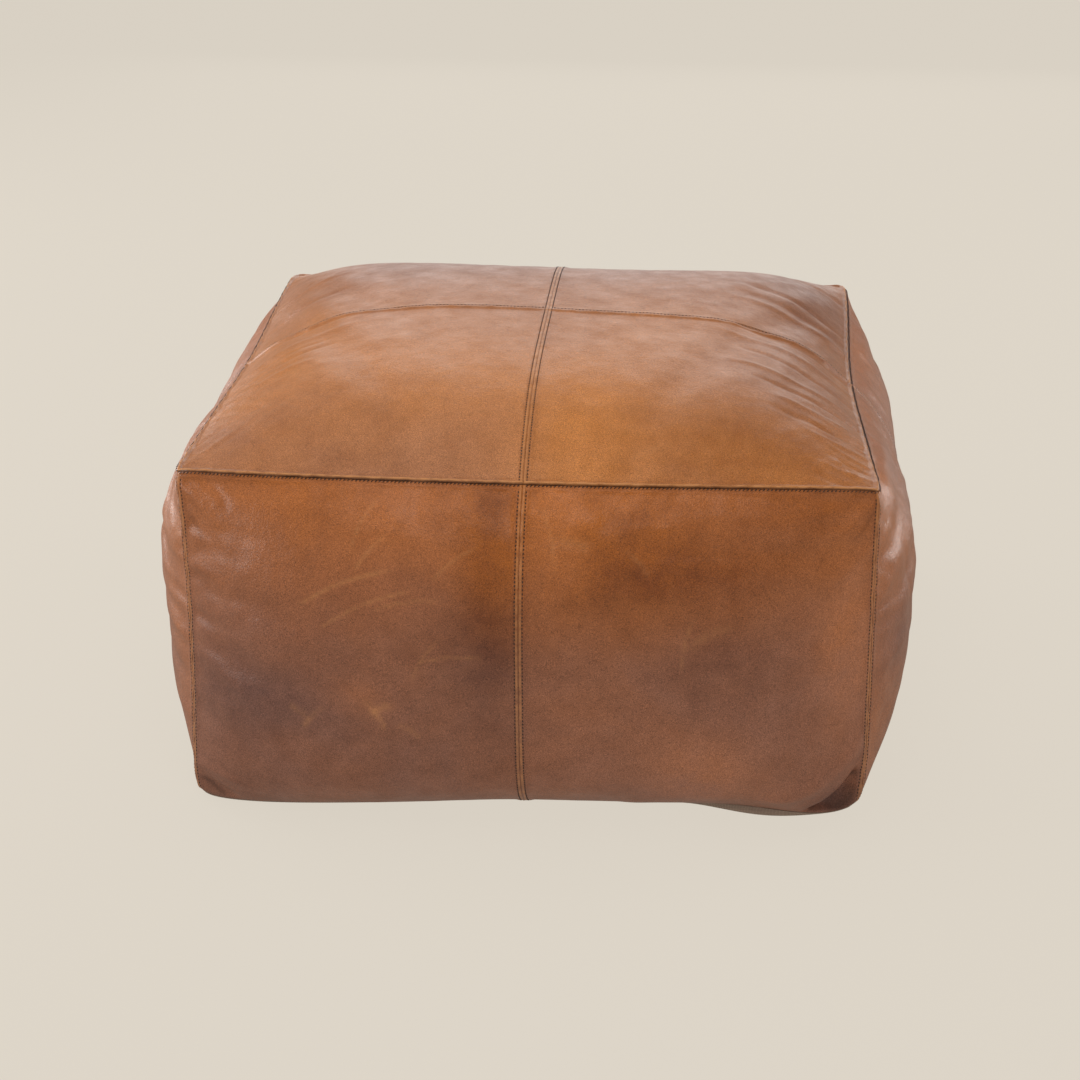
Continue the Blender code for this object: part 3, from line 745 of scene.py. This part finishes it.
def patina(face, u, v):
    """How golden the leather is, from 0 to 1, and how dark it is stained, from 0 to 1."""
    base_tone, base_shade, blobs = PATINA.get(face, (40, 30, ()))
    tone = base_tone / 100 + 0 * u
    shade = base_shade / 100 + 0 * u
    for blob in blobs:
        centre_u, centre_v, reach_u, reach_v, add_tone, add_shade = np.array(blob) / 100
        weight = np.exp(-((u - centre_u) / reach_u) ** 2 - ((v - centre_v) / reach_v) ** 2)
        tone = tone + add_tone * weight
        shade = shade + add_shade * weight
    return tone, shade


# Each face's tone and stain, and patches that add to them: middle, reach, tone and stain, all in
# hundredths
PATINA = {
    "top": (60, 16, (
        (-55, -90, 50, 30, -10, 22), (-25, -55, 30, 35, 15, -10), (15, -80, 20, 35, 35, -12),
        (62, -92, 35, 20, 30, 30), (85, -35, 25, 40, -20, 22), (35, -20, 30, 25, 10, -10),
        (-50, 45, 40, 30, -15, 15), (90, 40, 20, 40, 10, 50), (-92, -10, 12, 50, 0, 10),
        (30, 60, 40, 30, -20, -4), (5, 75, 140, 45, -50, 10), (45, -10, 40, 40, 0, 12),
        (-5, -5, 50, 30, 5, 12), (-35, -70, 35, 20, 0, -12),
    )),
    "front": (16, 36, (
        (0, 105, 400, 33, 70, 0), (-35, 92, 16, 14, 0, -18), (-8, 85, 10, 30, 10, 22),
        (-10, 60, 14, 14, 0, 36), (-80, 42, 25, 12, -10, 30), (-70, 70, 30, 10, 10, 5),
        (-45, 45, 8, 6, 10, -22), (-15, 35, 25, 25, 0, -5), (8, 92, 12, 16, 0, -25),
        (30, 80, 16, 12, 25, 42), (55, 80, 20, 10, 25, 40), (78, 94, 20, 10, 0, 20),
        (93, 60, 10, 24, 20, -30), (55, 58, 20, 8, 0, 18), (52, 14, 16, 12, 12, -30),
        (92, 5, 7, 6, 0, 60), (56, 47, 12, 12, 10, 16), (-95, 5, 20, 12, 0, 15),
        (-60, 6, 30, 10, -10, -10), (5, 4, 60, 12, -5, -20), (50, 24, 20, 10, 0, -15),
        (-6, 92, 10, 14, 25, 10), (30, 92, 12, 8, 20, 5), (-8, 72, 10, 18, 35, 0),
        (36, 68, 36, 12, 25, 3), (93, 55, 7, 20, -10, -15), (-10, 30, 12, 15, 0, 14),
        (-85, 30, 14, 12, 0, 10), (52, 10, 20, 10, -20, 0), (-30, 26, 14, 12, 0, 8),
        (-7, 60, 7, 40, 5, 14), (12, 84, 12, 16, 10, 9), (56, 60, 10, 12, 5, 7),
        (93, 55, 7, 18, 0, -12), (-82, 26, 10, 14, 0, 8), (-40, 93, 36, 10, 10, 7),
        (-50, 55, 40, 50, 0, 9), (60, 20, 40, 30, -5, -4),
    )),
    "right": (40, 22, (
        (-90, 90, 25, 20, 30, -10), (-80, 50, 16, 14, -20, 25), (0, 80, 40, 30, 10, 10),
        (30, 30, 40, 25, -10, 20), (-50, 15, 40, 16, -20, 15),
    )),
    "back": (35, 28, (
        (-50, 80, 40, 25, 30, 5), (40, 85, 40, 20, 30, -5), (20, 30, 40, 25, -10, 20),
        (-60, 30, 30, 25, -10, 10),
    )),
    "left": (35, 24, (
        (80, 85, 30, 20, 25, 0), (70, 35, 25, 20, -10, 20), (-30, 70, 40, 25, 25, 5),
        (-50, 25, 40, 25, -10, 20),
    )),
}



# Light scuffs: start and end in hundredths, width in mm and strength
SCUFFS = {
    "front": (
        (-62, 70, -36, 80, 1.6, 0.42), (-56, 64, -30, 75, 1.4, 0.36), (-46, 80, -38, 88, 1.6, 0.32),
        (-40, 70, -22, 72, 1.4, 0.32), (-48, 84, -41, 96, 1.2, 0.3), (-24, 78, -12, 86, 1.3, 0.28),
        (-44, 43, -38, 34, 2.2, 0.35), (-34, 36, -28, 31, 2, 0.25), (-62, 34, -56, 40, 2.4, 0.28),
        (6, 95, 10, 80, 1.4, 0.26), (46, 54, 49, 68, 1.6, 0.24), (30, 86, 36, 80, 1.4, 0.24),
        (-42, 39, -36, 42, 4, 0.3), (-66, 40, -60, 36, 3, 0.2), (-28, 55, -10, 56, 1.4, 0.3),
        (10, 88, 20, 86, 5, 0.18), (48, 60, 60, 66, 4, 0.2), (-30, 50, -22, 62, 1.5, 0.2),
    ),
    "top": (
        (10, -50, 16, -44, 3, 0.25), (40, -72, 50, -66, 4, 0.18), (-30, -60, -20, -55, 3, 0.18),
        (30, -93, 42, -88, 4, 0.25),
    ),
}



# Painted shade along fold creases, the same way
CREASE_SHADES = {
    "front": (
        (100, 16, 84, 0, 3, 0.85), (100, 9, 90, 0, 6, 0.5), (-99, 90, -93, 80, 1.2, 0.25),
        (-98, 7, -90, 2, 3, 0.45), (99, 95, 93, 86, 1.2, 0.25),
    ),
    "top": (
        (100, -87, 87, -79, 0.8, 0.22), (100, -70, 84, -67, 0.8, 0.2),
        (100, -48, 80, -45, 0.9, 0.2), (-100, -50, -84, -36, 0.9, 0.2),
    ),
}



# Stitches

PITCH = 3.4 * MM
STITCH_LENGTH = 2.2 * MM
STITCH_POINTS = 5
THREAD = 0.44 * MM          # half the thread's thickness
RING = 6                    # sides of a thread or wire
ROW_STEPS = 500             # places along a seam at which a row is measured
PERIMETER_INSET = 1.7 * MM
PERIMETER_SLANT = 1.3 * MM


def stitch_row(panel, edge, inset=STITCH_INSET, start=0.0, end=0.0, slant=0.0):
    """Points along each stitch of a row beside a seam of a panel, and their normals."""
    fine = np.linspace(0, 1, ROW_STEPS)
    upright = edge in ("start", "end")
    rows = panel.along if upright else panel.up.T
    table = np.stack([np.interp(fine, panel.steps, row) for row in rows])
    reach = inset if edge in ("start", "bottom") else table[-1] - inset
    reach = np.broadcast_to(reach, fine.shape)
    other = np.array([np.interp(r, table[:, k], panel.steps) for k, r in enumerate(reach)])
    p, q = (other, fine) if upright else (fine, other)
    points = place(panel.face, *panel.coordinates(p, q))
    length = np.concatenate([[0], np.cumsum(np.linalg.norm(np.diff(points, axis=0), axis=1))])
    usable = length[-1] - start - end
    count = max(1, int(round(usable / PITCH)))
    middle = start + (np.arange(count) + 0.5) * usable / count
    marks = middle[:, None] + np.linspace(-0.5, 0.5, STITCH_POINTS) * STITCH_LENGTH
    at_p = np.interp(marks, length, p)
    at_q = np.interp(marks, length, q)
    if slant:
        across = np.linspace(-0.5, 0.5, STITCH_POINTS) * slant
        if upright:
            at_p = at_p + across / panel.along[-1].mean()
        else:
            at_q = at_q + across / panel.up[:, -1].mean()
    surface, _ = panel.surface(at_p, at_q)
    normal = face_normal(panel.face, *panel.coordinates(at_p, at_q))
    return surface, normal


def wheel(side, upright):
    """A ring of directions round each point of a thread or wire."""
    ring = np.linspace(0, math.tau, RING + 1)[:-1, None]
    return side[..., None, :] * np.cos(ring) + upright[..., None, :] * np.sin(ring)


def tube_faces(index):
    """The faces of a tube, from its point numbers ring by ring."""
    turned = np.roll(index, -1, axis=1)
    return np.stack([index[:-1], turned[:-1], turned[1:], index[1:]], -1).reshape(-1, 4)


def stitches(name, rows, *cad_nodes):
    """One piece made of every stitch of some rows: short arcs of thread that dive into holes."""
    arc = np.array([-0.55, 0.12, 0.3, 0.12, -0.55]) * MM
    radius = np.array([0.6, 1, 1, 1, 0.6]) * THREAD
    count = STITCH_POINTS * RING
    one = tube_faces(np.arange(count).reshape(STITCH_POINTS, RING))
    points, faces = [], []
    offset = 0
    for surface, normal in rows:
        centre = surface + normal * arc[:, None]
        tangent = unit(np.gradient(centre, axis=1))
        side = unit(np.cross(tangent, normal))
        upright = np.cross(side, tangent)
        shape = centre[:, :, None] + wheel(side, upright) * radius[:, None, None]
        points.append(shape.reshape(-1, 3))
        for _ in range(len(surface)):
            faces.append(one + offset)
            offset += count
    piece = mesh_piece(name, np.concatenate(points), np.concatenate(faces))
    cap_ends(piece)
    present(piece, thread_material, "sewing_thread", *cad_nodes)


def cap_ends(piece):
    """Close the open ends of every thread or wire of a piece."""
    shape = bmesh.new()
    shape.from_mesh(piece.data)
    bmesh.ops.holes_fill(shape, edges=shape.edges[:], sides=RING)
    bmesh.ops.recalc_face_normals(shape, faces=shape.faces[:])
    shape.to_mesh(piece.data)
    shape.free()
    piece.data.shade_smooth()


# Materials


class Nodes:
    """A material whose nodes are added in a line or two each."""

    def __init__(self, name):
        self.material = bpy.data.materials.new(name)
        self.material.use_nodes = True
        self.tree = self.material.node_tree
        self.shader = self.tree.nodes["Principled BSDF"]
        self.metres = self.tree.nodes.new("ShaderNodeTexCoord").outputs["Object"]

    def add(self, kind, inputs=(), **settings):
        node = self.tree.nodes.new("ShaderNode" + kind)
        for key, value in settings.items():
            setattr(node, key, value)
        for key, value in dict(inputs).items():
            self.put(node.inputs[key], value)
        return node

    def put(self, socket, value):
        if isinstance(value, bpy.types.NodeSocket):
            self.tree.links.new(value, socket)
        else:
            socket.default_value = value

    def math(self, operation, first, second=0.0, third=0.0):
        node = self.add("Math", {0: first, 1: second, 2: third}, operation=operation)
        return node.outputs[0]

    def vary(self, value, amount, by):
        """Add an uneven field to a value, and take away as much on average."""
        return self.math("MULTIPLY_ADD", self.math("SUBTRACT", by, 0.5), amount, value)

    def noise(self, scale, detail=3.0, roughness=0.5, where=None, distortion=0.0):
        node = self.add("TexNoise", {"Scale": scale, "Detail": detail, "Roughness": roughness,
                                     "Vector": where or self.metres, "Distortion": distortion})
        return node.outputs["Fac"]

    def cells(self, scale, where=None, feature="F1"):
        node = self.add("TexVoronoi", {"Scale": scale, "Vector": where or self.metres},
                        feature=feature)
        return node.outputs["Distance"]

    def stretched(self, scale):
        node = self.add("Mapping", {"Vector": self.metres, "Scale": scale})
        return node.outputs[0]

    def ramp(self, value, low, high, to_low=0.0, to_high=1.0):
        node = self.add("MapRange", {"Value": value, "From Min": low, "From Max": high,
                                     "To Min": to_low, "To Max": to_high})
        node.interpolation_type = "SMOOTHSTEP"
        return node.outputs[0]

    def mix(self, factor, first, second, mode="MIX"):
        node = self.add("Mix", data_type="RGBA", blend_type=mode)
        self.put(node.inputs[0], factor)
        for socket, value in ((node.inputs[6], first), (node.inputs[7], second)):
            self.put(socket, (*value, 1) if isinstance(value, tuple) else value)
        return node.outputs[2]

    def attribute(self, name):
        return self.add("Attribute", attribute_name=name).outputs["Fac"]

    def bump(self, heights):
        """Chain bumps of (height in metres, value from 0 to 1)."""
        normal = None
        for metres, value in heights:
            inputs = {"Strength": 1.0, "Distance": metres, "Height": value}
            if normal is not None:
                inputs["Normal"] = normal
            normal = self.add("Bump", inputs).outputs[0]
        return normal

    def finish(self, colour, roughness, normal=None, **values):
        self.put(self.shader.inputs["Base Color"],
                 (*colour, 1) if isinstance(colour, tuple) else colour)
        self.put(self.shader.inputs["Roughness"], roughness)
        if normal is not None:
            self.put(self.shader.inputs["Normal"], normal)
        for key, value in values.items():
            self.shader.inputs[key.replace("_", " ")].default_value = value
        return self.material


def leather(name, golden, brown, stain):
    """Waxed, hand-dyed leather: golden to brown patches, dark stains, a fine grain; painted shade at
    seams and creases, painted highlight next to seams.
    """
    n = Nodes(name)
    seam = n.attribute("seam")
    tone = n.attribute("tone")
    shade = n.attribute("shade")
    cloud = n.noise(7, 5, 0.6, distortion=0.6)
    mottle = n.noise(38, 6, 0.65)
    speckle = n.noise(260, 4, 0.6)
    grain = n.cells(620, feature="SMOOTH_F1")
    pores = n.noise(1500, 2, 0.5)
    warmth = n.vary(n.vary(tone, 0.7, cloud), 0.45, mottle)
    warmth = n.add("Clamp", {"Value": warmth}).outputs[0]
    colour = n.mix(warmth, brown, golden)
    dirt = n.vary(n.vary(shade, 0.9, mottle), 0.25, speckle)
    dirt = n.add("Clamp", {"Value": dirt}).outputs[0]
    dark = n.mix(warmth, (0.105, 0.048, 0.040), stain)
    colour = n.mix(dirt, colour, dark)
    flecks = n.math("MULTIPLY_ADD", n.noise(1300, 3, 0.75), 3.4, n.math("MULTIPLY", speckle, 0.4))
    colour = n.mix(1.0, colour, n.math("SUBTRACT", flecks, 0.9), "MULTIPLY")
    # Lighter orange next to the seams, partly worn leather and partly painted highlight, and light
    # scuffs
    rub_and_highlight = n.math("MULTIPLY", n.attribute("rub_and_highlight"), n.ramp(n.noise(150, 3), 0.3, 0.6, 0.3, 0.85))
    colour = n.mix(rub_and_highlight, colour, (0.56, 0.25, 0.09))
    # Painted shade: uneven darkening within a few mm of the seams
    painted_seam_shade = n.math("MULTIPLY", n.ramp(seam, 9, 2), n.ramp(n.noise(60, 4), 0.3, 0.7, 0.05, 0.35))
    painted_seam_shade = n.math("MULTIPLY", painted_seam_shade, n.math("SUBTRACT", 1.0, rub_and_highlight))
    colour = n.mix(painted_seam_shade, colour, dark)
    # Painted shade: near black along the seam creases and the fold creases
    colour = n.mix(n.attribute("crease"), colour, (0.012, 0.005, 0.003))
    roughness = n.ramp(n.math("ADD", mottle, n.math("MULTIPLY", grain, 0.2)), 0.3, 0.85, 0.32, 0.48)
    normal = n.bump([(0.0022, n.noise(16, 3, 0.5)), (0.0006, n.noise(75, 4, 0.55)),
                     (0.00022, grain), (0.00007, pores)])
    return n.finish(colour, roughness, normal, Specular_IOR_Level=0.5)


def thread_look():
    n = Nodes("waxed thread")
    twist = n.noise(2500, 2)
    colour = n.mix(twist, (0.02, 0.012, 0.010), (0.06, 0.038, 0.03))
    return n.finish(colour, 0.55, n.bump([(0.0001, twist)]))


def woven(name, dark, light, pitch, height, roughness=0.9):
    """A plain weave: threads over and under one another both ways."""
    n = Nodes(name)
    turns = math.tau / pitch
    parts = n.add("SeparateXYZ", {"Vector": n.metres}).outputs
    across = n.math("SINE", n.math("MULTIPLY", n.math("ADD", parts[0], parts[2]), turns / 2))
    along = n.math("SINE", n.math("MULTIPLY", n.math("ADD", parts[1], parts[2]), turns / 2))
    over = n.math("MULTIPLY_ADD", n.math("MULTIPLY", across, along), 0.5, 0.5)
    rows = n.math("MULTIPLY_ADD", n.math("MULTIPLY", n.math("ABSOLUTE", across),
                                         n.math("ABSOLUTE", along)), 0.5, 0.0)
    weave = n.math("ADD", n.math("MULTIPLY", over, 0.5), rows)
    worn = n.noise(25, 4)
    colour = n.mix(n.ramp(n.math("ADD", weave, n.math("MULTIPLY", worn, 0.5)), 0.1, 1.2), dark, light)
    return n.finish(colour, roughness, n.bump([(height, weave), (0.0006, n.noise(60, 3))]))


def metal(name, bright, dull):
    n = Nodes(name)
    scuffs = n.noise(900, 4, where=n.stretched((1, 6, 6)))
    age = n.noise(180, 4)
    colour = n.mix(n.ramp(age, 0.35, 0.7), bright, dull)
    return n.finish(colour, n.ramp(scuffs, 0.3, 0.7, 0.22, 0.45),
                    n.bump([(0.00003, scuffs)]), Metallic=1.0)


def plastic(name, dark, light):
    n = Nodes(name)
    speckle = n.noise(1200, 3)
    return n.finish(n.mix(speckle, dark, light), n.ramp(speckle, 0.3, 0.7, 0.3, 0.45),
                    n.bump([(0.00004, speckle)]))


def fibre(name, dark, light):
    n = Nodes(name)
    tufts = n.noise(45, 6, 0.7, distortion=1.5)
    hairs = n.noise(700, 4, 0.7, where=n.stretched((1, 1, 5)))
    normal = n.bump([(0.006, tufts), (0.0008, hairs)])
    return n.finish(n.mix(tufts, dark, light), 1.0, normal)


thread_material = thread_look()
canvas = woven("woven canvas", (0.15, 0.105, 0.08), (0.31, 0.225, 0.17), 1.6 * MM, 0.4 * MM)
cotton = woven("cotton", (0.52, 0.47, 0.39), (0.78, 0.74, 0.65), 0.9 * MM, 0.2 * MM)
tape_weave = woven("zip tape", (0.04, 0.022, 0.014), (0.12, 0.07, 0.045), 0.8 * MM, 0.15 * MM)
brass = metal("brass", (0.62, 0.42, 0.18), (0.33, 0.21, 0.09))
coil_plastic = plastic("coil", (0.03, 0.018, 0.011), (0.09, 0.055, 0.035))
polyester = fibre("polyester fibre", (0.62, 0.60, 0.55), (0.88, 0.87, 0.83))
STAIN = (0.18, 0.048, 0.010)
side_leather = leather("side leather", (0.475, 0.146, 0.024), (0.31, 0.132, 0.080), STAIN)
top_leather = leather("top leather", (0.50, 0.180, 0.036), (0.36, 0.165, 0.095), STAIN)


# The cover

simulate_cover()
panels = {}
# The kinds of seam along the start and end of a top panel, and along its bottom and top
ACROSS_KINDS = {"left": ("rolled", "pressed"), "right": ("pressed", "rolled")}
UP_KINDS = {"front": ("rolled", "raised"), "back": ("laid", "rolled")}
for y_name, v_range in (("front", (-1, 0)), ("back", (0, 1))):
    for x_name, u_range in (("left", (-1, 0)), ("right", (0, 1))):
        kinds = ACROSS_KINDS[x_name] + UP_KINDS[y_name]
        name = f"leather_top_{y_name}_{x_name}"
        panel = Panel(name, "top", u_range, v_range, kinds)
        panels[f"top_{y_name}_{x_name}"] = panel
        leather_piece(panel, top_leather, "top_leather", f"top_panel_{y_name}_{x_name}")
for side in SIDES:
    for half, u_range in zip(HALVES[side], ((-1, 0), (0, 1))):
        kinds = ("pressed", "pressed", "turned", "stitched")
        panel = Panel(f"leather_{side}_{half}", side, u_range, (0, 1), kinds)
        panels[f"{side}_{half}"] = panel
        leather_piece(panel, side_leather, "side_leather", f"{side}_panel_{half}")

gap = 2 * MM                # between the end of a row and the panel's corner, at the least
for x_name, edge in (("left", "end"), ("right", "start")):
    rows = [stitch_row(panels[f"top_{y_name}_{x_name}"], edge, start=gap, end=gap)
            for y_name in ("front", "back")]
    stitches(f"lengthwise_stitches_{x_name}", rows, f"top_lengthwise_stitching_{x_name}")
    rows = [stitch_row(panels[f"top_back_{x_name}"], "bottom", start=2 * gap, end=2 * gap)]
    stitches(f"crosswise_stitches_{x_name}", rows, f"top_crosswise_stitching_{x_name}")
rows = [stitch_row(panels[f"{side}_{half}"], "top", PERIMETER_INSET, start=gap, end=gap,
                   slant=PERIMETER_SLANT)
        for side in SIDES for half in HALVES[side]]
stitches("perimeter_stitches", rows, "perimeter_stitching")
for side in SIDES:
    first, second = HALVES[side]
    for half, corner, middle in ((first, "start", "end"), (second, "end", "start")):
        panel = panels[f"{side}_{half}"]
        for place_name, edge in (("corner", corner), ("middle", middle)):
            row = stitch_row(panel, edge, start=3 * gap, end=3 * gap)
            stitches(f"{side}_{place_name}_stitches_{half}", [row],
                     f"{side}_{place_name}_stitching_{half}")


# The base, with its zip

SLOT_HALF_WIDTH = 6 * MM
SLOT_HALF_LENGTH = 0.190
SLOT_TAPER = 10 * MM
CANVAS = 1.6 * MM
BASE_COLUMNS = 241
BASE_ROWS = 90


def base_piece(name, direction, cad_node):
    """Half of the canvas base, up to the slot that the zip closes."""
    u = np.linspace(-1, 1, BASE_COLUMNS)
    u = 0.35 * u + 0.65 * np.sin(u * math.pi / 2)
    b = np.sin(np.linspace(0, 1, BASE_ROWS) * math.pi / 2)
    u, b = np.meshgrid(u, b, indexing="ij")
    length = HALF_BASE - BASE_PULL["left"]
    open_part = np.clip((SLOT_HALF_LENGTH + SLOT_TAPER - np.abs(u) * length) / SLOT_TAPER, 0, 1)
    inner = SEAM_GAP / 2 + open_part * (SLOT_HALF_WIDTH - SEAM_GAP / 2)
    v = np.maximum(b, inner / HALF_BASE + b * 0.01)
    points = place("base", u, direction * np.minimum(v, 1))
    faces = grid_faces(*u.shape, flip=direction > 0)
    piece = mesh_piece(name, points.reshape(-1, 3), faces)
    thicken(piece, CANVAS)
    present(piece, canvas, "base_canvas", cad_node)


base_piece("base_canvas_front", -1, "base_panel_front")
base_piece("base_canvas_back", 1, "base_panel_back")


def straight_row(start, end, normal):
    """A straight row of stitches."""
    start, end = np.array(start), np.array(end)
    length = np.linalg.norm(end - start)
    count = int(round(length / PITCH))
    middle = (np.arange(count) + 0.5) * length / count
    marks = middle[:, None] + np.linspace(-0.5, 0.5, STITCH_POINTS) * STITCH_LENGTH
    points = start + marks[..., None] * (end - start) / length
    return points, np.broadcast_to(np.array(normal, float), points.shape)


zip_low, zip_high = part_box("zip_stitching")
inset = THREAD
corners = [(zip_low.x + inset, zip_low.y + inset), (zip_high.x - inset, zip_low.y + inset),
           (zip_high.x - inset, zip_high.y - inset), (zip_low.x + inset, zip_high.y - inset)]
under = CHANNEL_RISE + 0.3 * MM
rows = [straight_row((*corners[k], under), (*corners[(k + 1) % 4], under), (0, 0, -1))
        for k in range(4)]
stitches("zip_stitches", rows, "zip_stitching")


def tube(name, path, radius):
    """A round wire along a path."""
    tangent = unit(np.gradient(path, axis=0))
    side = unit(np.cross(tangent, (1.0, 0.02, 0.01)))
    upright = np.cross(side, tangent)
    points = (path[:, None] + wheel(side, upright) * radius).reshape(-1, 3)
    return mesh_piece(name, points, tube_faces(np.arange(len(points)).reshape(-1, RING)))


WIRE = 0.34 * MM
TOOTH_PITCH = 1.4 * MM

for y_name, phase in (("front", 0.0), ("back", math.pi)):
    low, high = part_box(f"zip_coil_{y_name}")
    radius = (high.z - low.z) / 2 - WIRE
    turn = np.arange(0, (high.x - low.x - 2 * WIRE) / TOOTH_PITCH, 1 / 12) * math.tau
    path = np.stack([low.x + WIRE + turn / math.tau * TOOTH_PITCH,
                     (low.y + high.y) / 2 + radius * np.cos(turn + phase),
                     (low.z + high.z) / 2 + radius * np.sin(turn + phase)], -1)
    coil = tube(f"zip_teeth_{y_name}", path, WIRE)
    cap_ends(coil)
    present(coil, coil_plastic, "zip_coil", f"zip_coil_{y_name}")


def keep_node(name, material, edge=0.0):
    """Show a CAD node as it is, with a better material and softer edges."""
    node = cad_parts[name]
    for part in node.material_slots:
        part.material = material
    if edge:
        bevel = node.modifiers.new("soft edges", "BEVEL")
        bevel.width = edge
        bevel.segments = 2
        bevel.limit_method = "ANGLE"
        bevel.angle_limit = math.radians(40)


for name in ("zip_tape_front", "zip_tape_back"):
    keep_node(name, tape_weave)
for name in ("zip_bottom_stop", "zip_top_stop_front", "zip_top_stop_back"):
    keep_node(name, brass, 0.1 * MM)
for name in ("zip_slider", "zip_pull"):
    keep_node(name, brass, 0.15 * MM)


# The inside

CENTRE_HEIGHT = 0.190
HALF_SPAN = cad_high.x
BAG_CHANNEL_RISE = 14 * MM
BAG_BOTTOM = 0.03           # height up to which the channel over the zip reaches into the bag
INSIDE_CELLS = 96           # across a face
INSIDE_ROWS = 54            # up a side


def lumps(points, size, seed):
    """An uneven field from -1 to 1 whose bumps are about this size."""
    total = 0
    for k in range(7):
        angle = 2.4 * k + seed
        tilt = 1.1 * k + 0.5 * seed
        direction = np.array([math.cos(angle) * math.cos(tilt), math.sin(angle) * math.cos(tilt),
                              math.sin(tilt)])
        total = total + np.sin(points @ direction * math.tau / (size * (0.7 + 0.13 * k)) + k * seed)
    return total / 7


def soft_inside(name, depth, size, height, cad_node, material, piece_slot):
    """A closed, stuffed form under the cover, with lumps that only sink into it."""
    _, grids = sewn_shell(INSIDE_CELLS, INSIDE_ROWS, FACES)
    points = shell_points(grids, place)
    across = smooth((CHANNEL_REACH - np.abs(points[:, 1])) / CHANNEL_REACH)
    low_part = np.clip(1 - points[:, 2] / BAG_BOTTOM, 0, 1)
    points[:, 2] += across * low_part * (BAG_CHANNEL_RISE - CHANNEL_RISE)
    sunk = depth + height * (0.5 + 0.5 * lumps(points, size, 3))
    level = points[:, 2] - CENTRE_HEIGHT
    points[:, :2] *= (1 - sunk / HALF_SPAN)[:, None]
    points[:, 2] = CENTRE_HEIGHT + level * (1 - sunk / CENTRE_HEIGHT)
    piece = mesh_piece(name, points, shell_faces(grids))
    present(piece, material, piece_slot, cad_node)


soft_inside("cotton_bag", 5 * MM, 0.06, 1 * MM, "inner_bag", cotton, "bag_cotton")
soft_inside("fibre_filling", 8 * MM, 0.035, 4 * MM, "filling", polyester, "filling_fibre")


# Floor, light and camera

BACKDROP = (0.723, 0.665, 0.578)
AMBIENT = 0.42              # strength of the backdrop's light on the pouf
AMBIENT_SHEEN = 0.12        # the same in reflections
FLOOR_GLOW = (0.93, 0.75, 0.32)     # as seen, on the pouf, and in reflections
FLOOR_REACH = 30
# Each light's name, place, size, power in watts, and whether it shows in reflections
SOFTBOXES = (
    ("overhead softbox", (-0.3, 0.1, 2.4), 1.8, 22.5, False),
    ("edge softbox", (-0.1, -1.2, 2.3), 0.7, 4, True),
    ("back softbox", (0.05, 2.7, 1.25), 2.3, 20, True),
    ("back left softbox", (-2.3, 1.2, 0.7), 1.6, 42, True),
    ("left softbox", (-2.3, -0.8, 1.0), 1.2, 22, True),
    ("right softbox", (2.3, 1.25, 0.6), 1.4, 28, True),
    ("front softbox", (1.0, -3.0, 1.1), 2.0, 31, False),
)
AIM = (0, 0, 0.2)
LENS = 78.9
CAMERA_AT = (0.150, -2.178, 1.039)
CAMERA_DOWN = 22.42         # degrees below the horizon
CAMERA_TURN = 4.16


def ray_strength(tree, socket, seen, diffuse, glossy):
    """Give a socket one value for camera rays, one for glossy rays and one for the others."""
    path = tree.nodes.new("ShaderNodeLightPath").outputs
    value = glossy
    for ray, low in (("Is Glossy Ray", diffuse), ("Is Camera Ray", None)):
        step = tree.nodes.new("ShaderNodeMapRange")
        tree.links.new(path[ray], step.inputs["Value"])
        if low is not None:
            step.inputs["To Min"].default_value = low
            step.inputs["To Max"].default_value = value
        else:
            tree.links.new(value, step.inputs["To Min"])
            step.inputs["To Max"].default_value = seen
        value = step.outputs[0]
    tree.links.new(value, socket)


def studio():
    """A plain pale floor and backdrop under softboxes."""
    world = bpy.data.worlds.new("studio")
    world.use_nodes = True
    tree = world.node_tree
    background = tree.nodes["Background"]
    background.inputs["Color"].default_value = (*BACKDROP, 1)
    ray_strength(tree, background.inputs["Strength"], 1.0, AMBIENT, AMBIENT_SHEEN)
    bpy.context.scene.world = world
    corners = np.array([(-1, -1, 0), (1, -1, 0), (1, 1, 0), (-1, 1, 0)]) * FLOOR_REACH
    floor = mesh_piece("floor", corners, np.array([(0, 1, 2, 3)]))
    n = Nodes("floor")
    n.finish((0.05, 0.046, 0.04), 1.0, Specular_IOR_Level=0.0)
    n.shader.inputs["Emission Color"].default_value = (*BACKDROP, 1)
    ray_strength(n.tree, n.shader.inputs["Emission Strength"], *FLOOR_GLOW)
    floor.data.materials.append(n.material)
    floor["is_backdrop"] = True
    for name, place_at, size, power, glossy in SOFTBOXES:
        data = bpy.data.lights.new(name, "AREA")
        data.energy = power
        data.size = size
        light = bpy.data.objects.new(name, data)
        light.location = place_at
        light.visible_glossy = glossy
        aim = Vector(AIM) - Vector(place_at)
        light.rotation_euler = aim.to_track_quat("-Z", "Y").to_euler()
        bpy.context.scene.collection.objects.link(light)
    bpy.context.scene.view_settings.view_transform = "Standard"


def camera():
    """A long lens in front of the pouf, looking a little down on it."""
    data = bpy.data.cameras.new("camera")
    data.lens = LENS
    data.clip_start = 0.05
    data.clip_end = 100
    thing = bpy.data.objects.new("camera", data)
    thing.location = CAMERA_AT
    thing.rotation_euler = (math.radians(90 - CAMERA_DOWN), 0, math.radians(CAMERA_TURN))
    bpy.context.scene.collection.objects.link(thing)
    bpy.context.scene.camera = thing


studio()
camera()

low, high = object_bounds()
